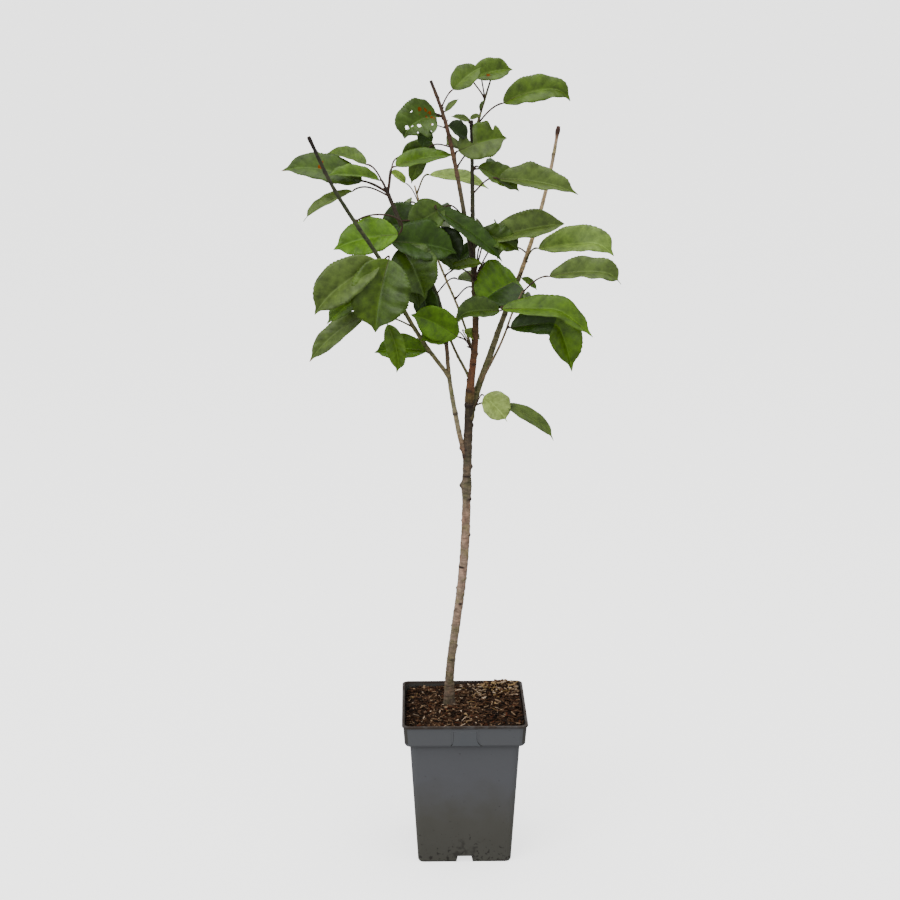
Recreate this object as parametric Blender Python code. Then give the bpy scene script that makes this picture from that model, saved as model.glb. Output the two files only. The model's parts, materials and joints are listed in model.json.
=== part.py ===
"""Young potted cherry tree: square nursery pot, potting mix, trunk, boughs and masses of foliage.

Metres, +Z up. The origin is under the middle of the pot, on its flat underside.
Lengths in the plan of the tree are millimetres and its angles are degrees.
A lean is measured from the vertical, a rise from the level, and a heading is seen
from above: 0 is right, 90 is back, 180 is left and 270 is front.
"""
import math
from typing import NamedTuple

import bmesh
import bpy
import numpy as np
from mathutils import Matrix

MM = 0.001

# Driving dimensions of the pot
RIM_WIDTH = 0.170
POT_HEIGHT = 0.208
WALL = 0.0015
COLLAR_HEIGHT = 0.028
LIP_HEIGHT = 0.0025
COLLAR_TOP = 0.1666
COLLAR_FOOT = 0.1630
BODY_TOP = 0.1486
BODY_FOOT = 0.1280
CORNER = 0.009
EDGE_ROUND = 0.0015
ARC_STEPS = 5
CHANNEL_WIDTH = 0.026
CHANNEL_HEIGHT = 0.009
CHANNEL_DEPTH = 0.030
CHANNEL_TAPER = 0.72
WALL_TAPER = 0.9
CUT_PAST = 0.005
DRAIN_RADIUS = 0.004
DRAIN_PLACE = 0.036
COLLAR_Z = POT_HEIGHT - COLLAR_HEIGHT
PANEL_WIDTH = 0.036
PANEL_HEIGHT = 0.021
PANEL_PROUD = 0.0006
PANEL_ABOVE = 0.002
SHOULDER = 0.0025
LIP_SLOPE = 0.0006
LIP_ROUND = 0.0004

# Driving dimensions of the potting mix
GAP = 0.0003
MIX_LEVEL = 0.2005
MIX_SLOPE = 0.045
MIX_ROUGHNESS = 0.0022
FLAT_RADIUS = 0.034
MIX_RINGS = (1.0, 0.84, 0.68, 0.52, 0.36, 0.20, 0.07)

# Driving dimensions of the tree
TREE_FOOT = (-0.0205, 0.0150)
FLARE = 0.0026
FLARE_HEIGHT = 0.018
LIMB_STEP = 0.011
STEM_STEP = 0.016
CUTTER_REACH = 0.060
CUTTER_PAST = 0.004
CUTTER_SIDES = 16
LEAFSTALK_RADIUS = 0.00075
LEAFSTALK_ARCH = 0.12
LEAFSTALK_REACH = 0.35
STALK_STATIONS = (0.0, 0.22, 0.45, 0.66, 0.84, 1.0)
LEAF_THICKNESS = 0.013
LEAF_SINK = 0.006
LEAF_FOLD = 22.0
WELD = 0.000001
SEED = 22


class Leaf(NamedTuple):
    """One leaf: where its stalk leaves the shoot, the stalk, the blade and how it hangs."""
    at: float                # share of the shoot's length
    stalk: tuple             # length, rise, heading
    blade: tuple             # length, rise, heading
    droop: float = 25.0      # how far the tip turns down
    tilt: float = 30.0       # how far the upper side leans towards its face heading
    width: float = 0.50      # share of the blade's length
    face: float = 270.0


class Shoot(NamedTuple):
    """One limb and what grows on it."""
    name: str
    parent: str
    at: float                # share of the parent's length
    runs: tuple              # each one is length, lean, heading
    radii: tuple             # millimetres at the foot and at the tip
    bare: float              # share that is a bough, before the foliage
    foliage: str = ""
    leaves: tuple = ()
    spare: int = 0           # leaves that the seeded rule adds towards the back


TRUNK = Shoot("trunk", "", 0.0,
              ((50, 2, 320), (60, 8, 340), (80, 8, 335), (65, 4.5, 330), (85, 2, 280), (95, 2, 0)),
              (6.0, 5.6), 1.0)

LEADER = Shoot("leader", "trunk", 1.0,
               ((40, 6, 27), (35, 7, 15), (45, 3, 75), (45, 3.5, 160), (80, 1, 200), (70, 1, 220),
                (55, 3, 240)),
               (5.2, 1.9), 0.57, "leader_foliage", (
                   Leaf(0.745, (43, 30, 335), (103, -10, 0), 35, 45, 0.42),
                   Leaf(0.83, (10, 25, 330), (60, -30, 0), 20, 45, 0.35),
                   Leaf(0.985, (5, 70, 180), (25, 15, 180), 15, 20, 0.40),
               ))

TOP_SIDE = Shoot("top_side_shoot", "leader", 0.905,
                 ((44, 19, 44), (22, 22, 38), (24, 19, 22)),
                 (1.6, 1.2), 0.0, "leader_foliage", (
                     Leaf(0.72, (36, 63, 197), (52, 10, 20), 20, 55, 0.58),
                     Leaf(0.35, (43, 38, 10), (94, 10, 5), 60, 55, 0.45),
                     Leaf(0.55, (4, 20, 245), (14, 65, 340), 10, 20, 0.50),
                 ))

UPPER_LEFT = Shoot("upper_left_bough", "leader", 0.495,
                   ((64, 14, 223), (76, 13.6, 222), (71, 16.8, 219), (39, 24, 210)),
                   (2.7, 1.5), 0.20, "upper_left_foliage", (
                       Leaf(0.26, (36, 25, 212), (47, -35, 195), 20, 60, 0.62),
                       Leaf(0.27, (43, 15, 210), (108, -37, 355), 15, 40, 0.30),
                       Leaf(0.25, (38, -30, 200), (50, -45, 350), 20, 60, 0.60),
                       Leaf(0.52, (18, 65, 10), (60, 12, 5), 20, 65, 0.72),
                       Leaf(0.64, (26, -10, 145), (57, -50, 165), 20, 60, 0.50),
                       Leaf(0.78, (15, 38, 200), (55, -25, 205), 45, 70, 0.92),
                       Leaf(0.77, (5, -40, 20), (34, -35, 30), 15, 50, 0.50),
                       Leaf(0.84, (5, -20, 0), (24, 40, 25), 10, 30, 0.40),
                       Leaf(0.85, (28, 55, 20), (46, 35, 30), 20, 50, 0.55),
                   ))

LEFT = Shoot("left_bough", "trunk", 0.815,
             ((15, 20, 205), (52, 13, 209), (56, 11, 208), (49, 8, 245), (55, 11, 215), (56, 26, 195),
              (34, 31, 194), (48, 23, 199), (26, 22, 195)),
             (2.9, 1.6), 0.56, "left_foliage", (
                 Leaf(0.61, (20, 40, 200), (42, -75, 310), 15, 75, 0.65),
                 Leaf(0.74, (25, 35, 220), (52, -60, 325), 20, 70, 0.85),
                 Leaf(0.745, (45, 30, 210), (72, -10, 5), 20, 55, 0.50),
                 Leaf(0.88, (43, -12, 35), (65, -5, 165), 20, 60, 0.75),
                 Leaf(0.97, (50, 10, 200), (72, -25, 195), 35, 15, 0.28),
                 Leaf(0.985, (19, 55, 200), (63, 8, 205), 20, 10, 0.40),
                 Leaf(0.98, (37, 24, 190), (104, 6, 185), 30, 45, 0.44),
                 Leaf(0.99, (42, 52, 178), (62, 10, 155), 25, 25, 0.45),
                 Leaf(0.985, (34, 58, 20), (68, 10, 20), 20, 35, 0.50),
             ))

FAR_LEFT = Shoot("far_left_bough", "left_bough", 0.312,
                 ((60, 41, 219), (59, 36, 219), (79, 27, 224), (63, 37, 212), (56, 34, 209),
                  (71, 26, 209)),
                 (2.2, 1.5), 0.08, "far_left_foliage", (
                     Leaf(0.10, (14, 40, 205), (62, -5, 160), 20, 45, 0.50),
                     Leaf(0.24, (42, 12, 215), (64, -75, 335), 25, 80, 0.42),
                     Leaf(0.38, (45, -30, 185), (98, -40, 180), 25, 50, 0.30),
                     Leaf(0.45, (27, -35, 185), (72, -35, 190), 15, 40, 0.42),
                     Leaf(0.51, (20, 20, 300), (93, -75, 225), 20, 80, 0.78),
                     Leaf(0.515, (18, 0, 265), (105, -35, 195), 35, 60, 0.52),
                     Leaf(0.68, (65, -15, 35), (88, -10, 170), 25, 60, 0.52),
                 ))

INNER_LEFT = Shoot("inner_left_bough", "leader", 0.08,
                   ((57, 43, 130), (53, 32, 125), (56, 26, 126)),
                   (2.0, 1.2), 0.33, "inner_left_foliage", (
                       Leaf(0.50, (30, 22, 305), (20, 60, 340), 10, 30, 0.60),
                   ), 5)

BACK = Shoot("back_bough", "leader", 0.17,
             ((68, 29, 125), (47, 35, 133), (89, 28, 134), (40, 21, 136)),
             (1.4, 0.9), 0.28, "back_foliage", (
                 Leaf(0.33, (33, 30, 335), (55, -30, 345), 20, 50, 0.50),
                 Leaf(0.47, (17, 40, 335), (56, 45, 340), 25, 40, 0.45),
                 Leaf(0.83, (47, 62, 196), (27, 15, 195), 20, 40, 0.60),
                 Leaf(0.955, (31, 55, 350), (85, -10, 340), 30, 30, 0.30),
             ), 5)

RIGHT = Shoot("right_bough", "trunk", 0.945,
              ((43, 23, 45), (40, 26, 35), (53, 25, 39), (68, 28, 36), (80, 24, 39), (76, 19, 40),
               (50, 15, 50)),
              (4.2, 2.1), 0.48, "right_foliage", (
                  Leaf(0.495, (21, -5, 260), (70, -15, 222), 20, 60, 0.75),
                  Leaf(0.50, (6, -30, 295), (26, -35, 345), 10, 30, 0.50),
                  Leaf(0.54, (30, 47, 335), (106, -3, 345), 45, 40, 0.45),
              ), 4)

NEAR_RIGHT = Shoot("near_right_bough", "right_bough", 0.115,
                   ((43, 29, 331), (36, 28, 325), (42, 23, 310), (30, 29, 325)),
                   (1.7, 1.2), 0.50, "near_right_foliage", (
                       Leaf(0.62, (6, 10, 315), (118, -32, 353), 85, 45, 0.36),
                       Leaf(0.86, (23, -20, 185), (58, -5, 195), 25, 45, 0.50),
                       Leaf(0.85, (22, -5, 215), (120, -15, 350), 50, 40, 0.36),
                       Leaf(0.98, (42, 30, 8), (92, 0, 5), 30, 40, 0.42),
                   ))

MIDDLE_SPUR = Shoot("middle_spur", "leader", 0.43,
                    ((12, 60, 270),), (1.6, 1.3), 0.0, "middle_foliage", (
                        Leaf(0.90, (26, 40, 215), (50, 30, 195), 20, 50, 0.45),
                        Leaf(0.95, (30, 55, 300), (45, -10, 185), 15, 40, 0.40),
                        Leaf(0.95, (56, 70, 336), (102, 11, 8), 20, 45, 0.45),
                        Leaf(0.90, (66, 79, 297), (42, -30, 0), 15, 60, 0.60),
                    ))

LOW_SPUR = Shoot("low_spur", "leader", 0.19,
                 ((10, 60, 230),), (1.6, 1.3), 0.0, "low_foliage", (
                     Leaf(0.90, (40, 32, 250), (44, -30, 200), 50, 78, 0.90),
                     Leaf(0.90, (42, 30, 240), (72, 32, 198), 20, 75, 0.50),
                 ))

LOW_SPRIG = Shoot("low_sprig", "trunk", 0.975,
                  ((14, 50, 335),), (1.5, 1.0), 0.0, "low_sprig_foliage", (
                      Leaf(0.90, (18, 48, 335), (45, -45, 350), 15, 60, 0.80),
                      Leaf(0.90, (40, 2, 350), (72, -30, 355), 35, 40, 0.24),
                  ))

SHOOTS = (TRUNK, LEADER, TOP_SIDE, UPPER_LEFT, LEFT, FAR_LEFT, INNER_LEFT, BACK, RIGHT, NEAR_RIGHT,
          MIDDLE_SPUR, LOW_SPUR, LOW_SPRIG)

# The spare leaves keep to this space behind the dense middle of the crown: middle and half sizes
SPARE_MIDDLE = np.array((-0.02, 0.105, 0.815))
SPARE_REACH = np.array((0.115, 0.105, 0.085))
SPARE_CLEARANCE = 0.010
SPARE_TRIES = 12

# Half width of a blade along its length, as shares
BLADE_SHARES = (0.10, 0.24, 0.40, 0.56, 0.72, 0.87)
BLADE_WIDTHS = (0.56, 0.90, 1.00, 0.90, 0.62, 0.26)


def direction(lean, heading):
    """Unit vectors from leans off the vertical and headings, in degrees."""
    lean = np.radians(lean)
    heading = np.radians(heading)
    return np.stack([np.sin(lean) * np.cos(heading), np.sin(lean) * np.sin(heading), np.cos(lean)], -1)


def unit(vectors):
    """Vectors scaled to length one."""
    return vectors / np.linalg.norm(vectors, axis=-1, keepdims=True)


class Path:
    """Middle line of a limb: it keeps each run's lean and heading, and turns gradually between them."""

    def __init__(self, start, runs, first_way=None):
        table = np.array(runs, dtype=float)
        lengths = table[:, 0] * MM
        places = np.cumsum(lengths) - lengths / 2
        ways = direction(table[:, 1], table[:, 2])
        if first_way is not None:
            places = np.insert(places, 0, 0.0)
            ways = np.vstack([first_way, ways])
        self.length = lengths.sum()
        steps = max(4, int(self.length / 0.004))
        middles = (np.arange(steps) + 0.5) * self.length / steps
        moves = unit(spread(middles, places, ways))
        self.shares = np.linspace(0.0, 1.0, steps + 1)
        self.points = np.vstack([start, start + np.cumsum(moves, 0) * self.length / steps])
        self.ways = unit(spread(self.shares * self.length, places, ways))

    def point(self, share):
        """Place on the line, which runs straight on past its end."""
        past = np.maximum(share - 1.0, 0.0) * self.length
        return spread(share, self.shares, self.points) + np.multiply.outer(past, self.ways[-1])

    def way(self, share):
        """Direction of the line."""
        return unit(spread(share, self.shares, self.ways))


def spread(where, places, rows):
    """Rows read between their places, one column at a time."""
    return np.stack([np.interp(where, places, rows[:, k]) for k in range(rows.shape[1])], -1)


def rings_around(points, ways, radii, sides):
    """Rings of a tube: the side direction is carried along so that the tube does not twist."""
    helper = np.array((1.0, 0.0, 0.0)) if abs(ways[0][0]) < 0.8 else np.array((0.0, 1.0, 0.0))
    side = unit(np.cross(ways[0], helper))
    angles = np.arange(sides) * 2 * math.pi / sides
    rings = []
    for point, way, radius in zip(points, ways, radii):
        side = unit(side - way * side.dot(way))
        up = np.cross(way, side)
        rings.append(point + radius * (np.outer(np.cos(angles), side) + np.outer(np.sin(angles), up)))
    return np.array(rings)


def tube(points, ways, radii, sides):
    """Closed tube with flat ends, as vertices and faces."""
    rings = rings_around(points, ways, radii, sides)
    count = len(rings)
    faces = []
    for ring in range(count - 1):
        for k in range(sides):
            low = ring * sides
            high = low + sides
            faces.append((low + k, low + (k + 1) % sides, high + (k + 1) % sides, high + k))
    faces.append(tuple(reversed(range(sides))))
    faces.append(tuple(range((count - 1) * sides, count * sides)))
    return rings.reshape(-1, 3), faces


def make_object(name, vertices, faces, smooth=True):
    """Blender object from vertices and faces."""
    mesh = bpy.data.meshes.new(name)
    mesh.from_pydata([tuple(v) for v in vertices], [], faces)
    mesh.update()
    if smooth:
        mesh.shade_smooth()
        mesh.set_sharp_from_angle(angle=math.radians(40))
    obj = bpy.data.objects.new(name, mesh)
    bpy.context.scene.collection.objects.link(obj)
    return obj


def material(name, colour, roughness):
    """Plain Principled material from an sRGB colour."""
    mat = bpy.data.materials.get(name)
    if mat is None:
        mat = bpy.data.materials.new(name)
        mat.use_nodes = True
        shader = mat.node_tree.nodes["Principled BSDF"]
        shader.inputs["Base Color"].default_value = (*[(c / 255) ** 2.2 for c in colour], 1.0)
        shader.inputs["Roughness"].default_value = roughness
        shader.inputs["Metallic"].default_value = 0.0
    return mat


def settle(obj):
    """Replaces the object's mesh with its evaluated one and drops its modifiers."""
    bpy.context.view_layer.update()
    graph = bpy.context.evaluated_depsgraph_get()
    mesh = bpy.data.meshes.new_from_object(obj.evaluated_get(graph))
    obj.modifiers.clear()
    obj.data = mesh


def remove(objects):
    """Takes objects out of the file."""
    for obj in list(objects):
        bpy.data.objects.remove(obj, do_unlink=True)


def cut(obj, cutter, solver="EXACT"):
    """Boolean difference, applied, with the cutter removed."""
    modifier = obj.modifiers.new("cut", "BOOLEAN")
    modifier.operation = "DIFFERENCE"
    modifier.solver = solver
    modifier.object = cutter
    settle(obj)
    remove([cutter])


def fuse(obj, pieces, solver="MANIFOLD"):
    """One Boolean union of the object with a collection of pieces, applied, with the pieces removed."""
    group = bpy.data.collections.new("pieces")
    bpy.context.scene.collection.children.link(group)
    for piece in pieces:
        bpy.context.scene.collection.objects.unlink(piece)
        group.objects.link(piece)
    modifier = obj.modifiers.new("fuse", "BOOLEAN")
    modifier.operation = "UNION"
    modifier.solver = solver
    modifier.operand_type = "COLLECTION"
    modifier.collection = group
    settle(obj)
    remove(group.objects)
    bpy.data.collections.remove(group)
    keep_one_body(obj)


def drop_flaps(work):
    """Takes out flaps of no thickness: two triangles on the same corners."""
    twins = {}
    for face in work.faces:
        twins.setdefault(frozenset(face.verts), []).append(face)
    flaps = [face for faces in twins.values() if len(faces) == 2 for face in faces]
    bmesh.ops.delete(work, geom=flaps, context="FACES")


def shells_of(work):
    """Groups of faces that hang together by their edges."""
    left = set(work.faces)
    shells = []
    while left:
        front = [left.pop()]
        shell = []
        while front:
            face = front.pop()
            shell.append(face)
            for other in [other for edge in face.edges for other in edge.link_faces]:
                if other in left:
                    left.remove(other)
                    front.append(other)
        shells.append(shell)
    return shells


def keep_one_body(obj):
    """Drops loose scraps and sealed hollows: only the largest shell of the mesh stays."""
    work = bmesh.new()
    work.from_mesh(obj.data)
    bmesh.ops.remove_doubles(work, verts=work.verts, dist=WELD)
    bmesh.ops.triangulate(work, faces=work.faces)
    drop_flaps(work)
    shells = sorted(shells_of(work), key=len)
    for shell in shells[:-1]:
        bmesh.ops.delete(work, geom=shell, context="FACES")
    work.to_mesh(obj.data)
    work.free()


def limb_radii(shoot, path, shares):
    """Radius along a limb: a straight taper, with the trunk's flare at its foot."""
    foot, tip = shoot.radii
    radii = (foot + (tip - foot) * shares) * MM
    if not shoot.parent:
        radii = radii + FLARE * np.exp(-shares * path.length / FLARE_HEIGHT)
    return radii


def limb_piece(shoot, path, first, last, sides, step, thicker=0.0):
    """Tube along a stretch of a limb, from one share of its length to another."""
    count = max(2, int((last - first) * path.length / step) + 1)
    shares = np.linspace(first, last, count)
    radii = limb_radii(shoot, path, np.clip(shares, 0.0, 1.0)) + thicker
    return tube(path.point(shares), path.way(shares), radii, sides)


def leafstalk_line(start, base, ahead):
    """Points from the limb to the blade: a curve that arches up and comes in along the midrib."""
    length = np.linalg.norm(base - start)
    arch = np.array((0.0, 0.0, LEAFSTALK_ARCH * length))
    second = start + (base - start) * LEAFSTALK_REACH + arch
    third = base - ahead * LEAFSTALK_REACH * length + arch
    t = np.array(STALK_STATIONS)[:, None]
    s = 1 - t
    return s ** 3 * start + 3 * s ** 2 * t * second + 3 * s * t ** 2 * third + t ** 3 * base


def leafstalk(start, base, ahead):
    """Three-sided stalk that runs on a little way into the blade."""
    points = np.vstack([leafstalk_line(start, base, ahead), base + ahead * LEAF_SINK])
    moves = unit(np.diff(points, axis=0))
    ways = unit(np.vstack([moves[:1], moves[:-1] + moves[1:], moves[-1:]]))
    radii = LEAFSTALK_RADIUS * np.linspace(1.25, 0.75, len(points))
    return tube(points, ways, radii, 3)


def blade_lines(leaf, base, rng):
    """Places along a blade's midrib with the directions along, across and square to it."""
    length, rise, heading = leaf.blade
    length *= MM
    shares = np.array((0.0,) + BLADE_SHARES + (1.0,))
    rises = rise + leaf.droop * (0.5 - shares)
    bend = heading + rng.uniform(-6, 6) * shares
    ways = direction(90 - rises, bend)
    between = (ways[1:] + ways[:-1]) / 2
    points = base + np.vstack([np.zeros(3), np.cumsum(between * np.diff(shares)[:, None] * length, 0)])
    lean = direction(leaf.tilt, leaf.face)
    normals = unit(lean - ways * (ways @ lean)[:, None])
    sides = np.cross(ways, normals)
    return points, ways, sides, normals


def blade(leaf, base, rng):
    """Leaf blade as a thin closed body: rounded foot, drawn-out tip, folded along its midrib."""
    points, ways, sides, normals = blade_lines(leaf, base, rng)
    length = leaf.blade[0] * MM
    half = np.array(BLADE_WIDTHS) * leaf.width * length / 2
    fold = math.radians(LEAF_FOLD + rng.uniform(-8, 8))
    wave = rng.uniform(-0.10, 0.10, (2, len(half))) * half
    thick = max(LEAF_THICKNESS * length, 0.0009) / 2
    middle = points[1:-1]
    across = sides[1:-1]
    square = normals[1:-1]
    edges = []
    for sign, ripple in ((-1, wave[0]), (1, wave[1])):
        out = across * (sign * half * math.cos(fold))[:, None]
        edges.append(middle + out + square * (half * math.sin(fold) + ripple)[:, None])
    top = middle + square * thick
    under = middle - square * thick
    vertices = np.vstack([points[:1], top, edges[1], under, edges[0], points[-1:]])
    return vertices, blade_faces(len(middle))


def blade_faces(count):
    """Faces of a blade, with every diagonal run from the midrib out towards the tip, above and below."""
    last = 4 * count + 1
    faces = []
    for k in range(4):
        here = 1 + k * count
        there = 1 + ((k + 1) % 4) * count
        faces.append((0, there, here))
        faces.append((last, here + count - 1, there + count - 1))
        for i in range(count - 1):
            a, b, c, d = here + i, there + i, there + i + 1, here + i + 1
            faces.extend(((a, b, c), (a, c, d)) if k % 2 == 0 else ((a, b, d), (b, c, d)))
    return faces


def leaf_base(leaf, path):
    """Foot of the stalk on the shoot, and the blade's foot."""
    length, rise, heading = leaf.stalk
    foot = path.point(leaf.at)
    return foot, foot + direction(90 - rise, heading) * length * MM


def leaf_pieces(leaf, path, rng):
    """Stalk and blade of one leaf, the stalk running on into the blade."""
    foot, base = leaf_base(leaf, path)
    ahead = direction(90 - leaf.blade[1] - leaf.droop / 2, leaf.blade[2])
    return [leafstalk(foot, base, ahead), blade(leaf, base, rng)]


def spare_leaf(shoot, turn, rng):
    """A leaf by the seeded rule: nodes one after another up the shoot, turned towards the back."""
    at = shoot.bare + (0.95 - shoot.bare) * (turn + rng.uniform(0.2, 0.8)) / shoot.spare
    side = (-1) ** turn
    heading = 90 + side * rng.uniform(5, 75)
    length = rng.uniform(65, 95)
    stalk = (rng.uniform(26, 40), rng.uniform(5, 45), heading)
    blade_run = (length, rng.uniform(-45, -5), heading + rng.uniform(-20, 20))
    return Leaf(at, stalk, blade_run, droop=rng.uniform(20, 45), tilt=rng.uniform(15, 45),
                width=rng.uniform(0.42, 0.52), face=heading + 90 * side)


def touches(points, others):
    """Whether any point comes closer to the others than the clearance."""
    if not len(others):
        return False
    gaps = np.linalg.norm(points[:, None, :] - others[None, :, :], axis=2)
    return gaps.min() < SPARE_CLEARANCE


def blade_grid(leaf, path):
    """Places over a blade and its stalk, for the clearance test."""
    foot, base = leaf_base(leaf, path)
    points, ways, sides, normals = blade_lines(leaf, base, np.random.default_rng(0))
    half = np.array((0.0,) + BLADE_WIDTHS + (0.0,)) * leaf.width * leaf.blade[0] * MM / 2
    rows = [points + sides * (half * share)[:, None] for share in (-1, -0.5, 0, 0.5, 1)]
    stalk = foot + np.outer(np.linspace(0.6, 1.0, 4), base - foot)
    return np.vstack(rows + [stalk])


def add_spares(paths, rng):
    """Chooses the spare leaves: one that would leave the space or touch something is skipped."""
    taken = {}
    for shoot in SHOOTS:
        taken[shoot.name] = [blade_grid(leaf, paths[shoot.name]) for leaf in shoot.leaves]
    limbs = np.vstack([paths[shoot.name].points for shoot in SHOOTS])
    chosen = {shoot.name: list(shoot.leaves) for shoot in SHOOTS}
    for shoot in SHOOTS:
        path = paths[shoot.name]
        for turn in range(shoot.spare):
            for attempt in range(SPARE_TRIES):
                leaf = spare_leaf(shoot, turn, rng)
                grid = blade_grid(leaf, path)
                inside = (((grid - SPARE_MIDDLE) / SPARE_REACH) ** 2).sum(1).max() < 1
                others = np.vstack([limbs] + [g for grids in taken.values() for g in grids])
                if inside and not touches(grid, others):
                    taken[shoot.name].append(grid)
                    chosen[shoot.name].append(leaf)
                    break
    return chosen


def tree_paths():
    """Middle lines of all the limbs, from the trunk outwards."""
    paths = {}
    for shoot in SHOOTS:
        if not shoot.parent:
            start = np.array((TREE_FOOT[0], TREE_FOOT[1], MIX_LEVEL + GAP))
            paths[shoot.name] = Path(start, shoot.runs)
        elif shoot.at >= 1.0:
            parent = paths[shoot.parent]
            paths[shoot.name] = Path(parent.point(1.0), shoot.runs, parent.way(1.0))
        else:
            paths[shoot.name] = Path(paths[shoot.parent].point(shoot.at), shoot.runs)
    return paths


def clear_of(obj, shoot, paths):
    """Cuts a piece free of the limb that carries it, with the gap that touching pieces keep."""
    for limb in SHOOTS:
        path = paths[limb.name]
        if limb.name == shoot.parent:
            first = max(shoot.at - CUTTER_REACH / path.length, 0.0)
            last = min(shoot.at + CUTTER_REACH / path.length, 1.0 + CUTTER_PAST / path.length)
        elif limb.parent == shoot.parent and limb.at >= 1.0:
            first = 0.0
            last = CUTTER_REACH / path.length
        else:
            continue
        piece = limb_piece(limb, path, first, last, CUTTER_SIDES, LIMB_STEP / 2, GAP)
        cut(obj, make_object("cutter", *piece, smooth=False))
    keep_one_body(obj)


def make_trunk(paths):
    """Trunk from its flat cut on the potting mix to its tip."""
    path = paths[TRUNK.name]
    vertices, faces = limb_piece(TRUNK, path, 0.0, 1.0, 12, LIMB_STEP)
    vertices[:12, 2] = MIX_LEVEL + GAP
    trunk = make_object(TRUNK.name, vertices, faces)
    trunk.data.materials.append(material("bark_grey", (104, 92, 78), 0.85))


def make_bough(shoot, paths):
    """Bough: the bare stretch of a shoot, from the limb that carries it to its foliage."""
    path = paths[shoot.name]
    half_gap = GAP / 2 / path.length
    first = 2 * half_gap if shoot.at >= 1.0 else 0.0
    last = shoot.bare - half_gap
    bough = make_object(shoot.name, *limb_piece(shoot, path, first, last, 8, LIMB_STEP))
    if shoot.at < 1.0:
        clear_of(bough, shoot, paths)
    bough.data.materials.append(material("bark_brown", (96, 74, 55), 0.8))


def make_foliage(name, shoots, paths, chosen, rng):
    """Mass of foliage: its stem, side shoots, leafstalks and blades fused to one body."""
    pieces = []
    for shoot in shoots:
        path = paths[shoot.name]
        first = shoot.bare + GAP / 2 / path.length if shoot.bare else 0.0
        pieces.append(limb_piece(shoot, path, first, 1.0, 6, STEM_STEP))
    for shoot in shoots:
        for leaf in chosen[shoot.name]:
            pieces.extend(leaf_pieces(leaf, paths[shoot.name], rng))
    objects = [make_object(name if k == 0 else "piece", *piece) for k, piece in enumerate(pieces)]
    mass = objects[0]
    fuse(mass, objects[1:])
    carrier = shoots[0]
    if not carrier.bare:
        clear_of(mass, carrier, paths)
    mass.data.materials.append(material("cherry_leaf", (84, 112, 52), 0.6))


def make_tree():
    """Trunk, boughs and masses of foliage."""
    rng = np.random.default_rng(SEED)
    paths = tree_paths()
    chosen = add_spares(paths, rng)
    make_trunk(paths)
    masses = {}
    for shoot in SHOOTS:
        if shoot.parent and shoot.bare:
            make_bough(shoot, paths)
        if shoot.foliage:
            masses.setdefault(shoot.foliage, []).append(shoot)
    for name, shoots in masses.items():
        make_foliage(name, shoots, paths, chosen, rng)


def rounded_square(half, corner, z):
    """Ring of points round a square with rounded corners, counter-clockwise from above."""
    points = []
    for quarter in range(4):
        turn = quarter * math.pi / 2
        for k in range(ARC_STEPS):
            angle = turn + k * math.pi / 2 / (ARC_STEPS - 1)
            x = (half - corner) * (math.cos(turn) - math.sin(turn)) + corner * math.cos(angle)
            y = (half - corner) * (math.sin(turn) + math.cos(turn)) + corner * math.sin(angle)
            points.append((x, y, z))
    return points


def loft(name, rings, smooth=True):
    """Closed body through rings of equal count, with a flat cap on the first and the last."""
    sides = len(rings[0])
    vertices = [point for ring in rings for point in ring]
    faces = [tuple(reversed(range(sides)))]
    for ring in range(len(rings) - 1):
        for k in range(sides):
            low = ring * sides
            high = low + sides
            faces.append((low + k, low + (k + 1) % sides, high + (k + 1) % sides, high + k))
    faces.append(tuple(range((len(rings) - 1) * sides, len(rings) * sides)))
    return make_object(name, vertices, faces, smooth)


def pot_profile():
    """Half widths and heights up the outside of the pot."""
    shoulder_z = COLLAR_Z - SHOULDER
    lip_z = POT_HEIGHT - LIP_HEIGHT
    return ((BODY_FOOT / 2 - EDGE_ROUND, 0.0), (BODY_FOOT / 2, EDGE_ROUND * 2),
            (BODY_TOP / 2, shoulder_z), (COLLAR_FOOT / 2 - EDGE_ROUND, shoulder_z),
            (COLLAR_FOOT / 2, COLLAR_Z), (COLLAR_TOP / 2, lip_z - LIP_SLOPE),
            (RIM_WIDTH / 2, lip_z), (RIM_WIDTH / 2, POT_HEIGHT - LIP_ROUND),
            (RIM_WIDTH / 2 - LIP_ROUND, POT_HEIGHT))


def inner_profile():
    """Half widths and heights down the inside of the pot."""
    step_z = COLLAR_Z + WALL
    return ((COLLAR_TOP / 2 - WALL, POT_HEIGHT), (COLLAR_FOOT / 2 - WALL, step_z),
            (BODY_TOP / 2 - WALL, step_z - SHOULDER), (BODY_FOOT / 2 - WALL, WALL))


def ring_at(half, z):
    """Pot ring at a half width and height; the corners shrink a little with the pot."""
    return rounded_square(half, CORNER * half / (RIM_WIDTH / 2), z)


BOX_FACES = ((3, 2, 1, 0), (4, 5, 6, 7), (0, 1, 5, 4), (1, 2, 6, 5), (2, 3, 7, 6), (3, 0, 4, 7))


def box_piece(name, centre, size, top_share=1.0):
    """Box that may narrow upwards along X."""
    vertices = []
    for z, share in ((-0.5, 1.0), (0.5, top_share)):
        for x, y in ((-0.5, -0.5), (0.5, -0.5), (0.5, 0.5), (-0.5, 0.5)):
            corner = (x * share * size[0], y * size[1], z * size[2])
            vertices.append([middle + out for middle, out in zip(centre, corner)])
    return make_object(name, vertices, BOX_FACES, smooth=False)


def turned(obj, quarter):
    """Turns a piece about the pot's upright axis by quarter turns, with its place kept in its mesh."""
    obj.data.transform(Matrix.Rotation(quarter * math.pi / 2, 4, "Z"))
    return obj


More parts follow.
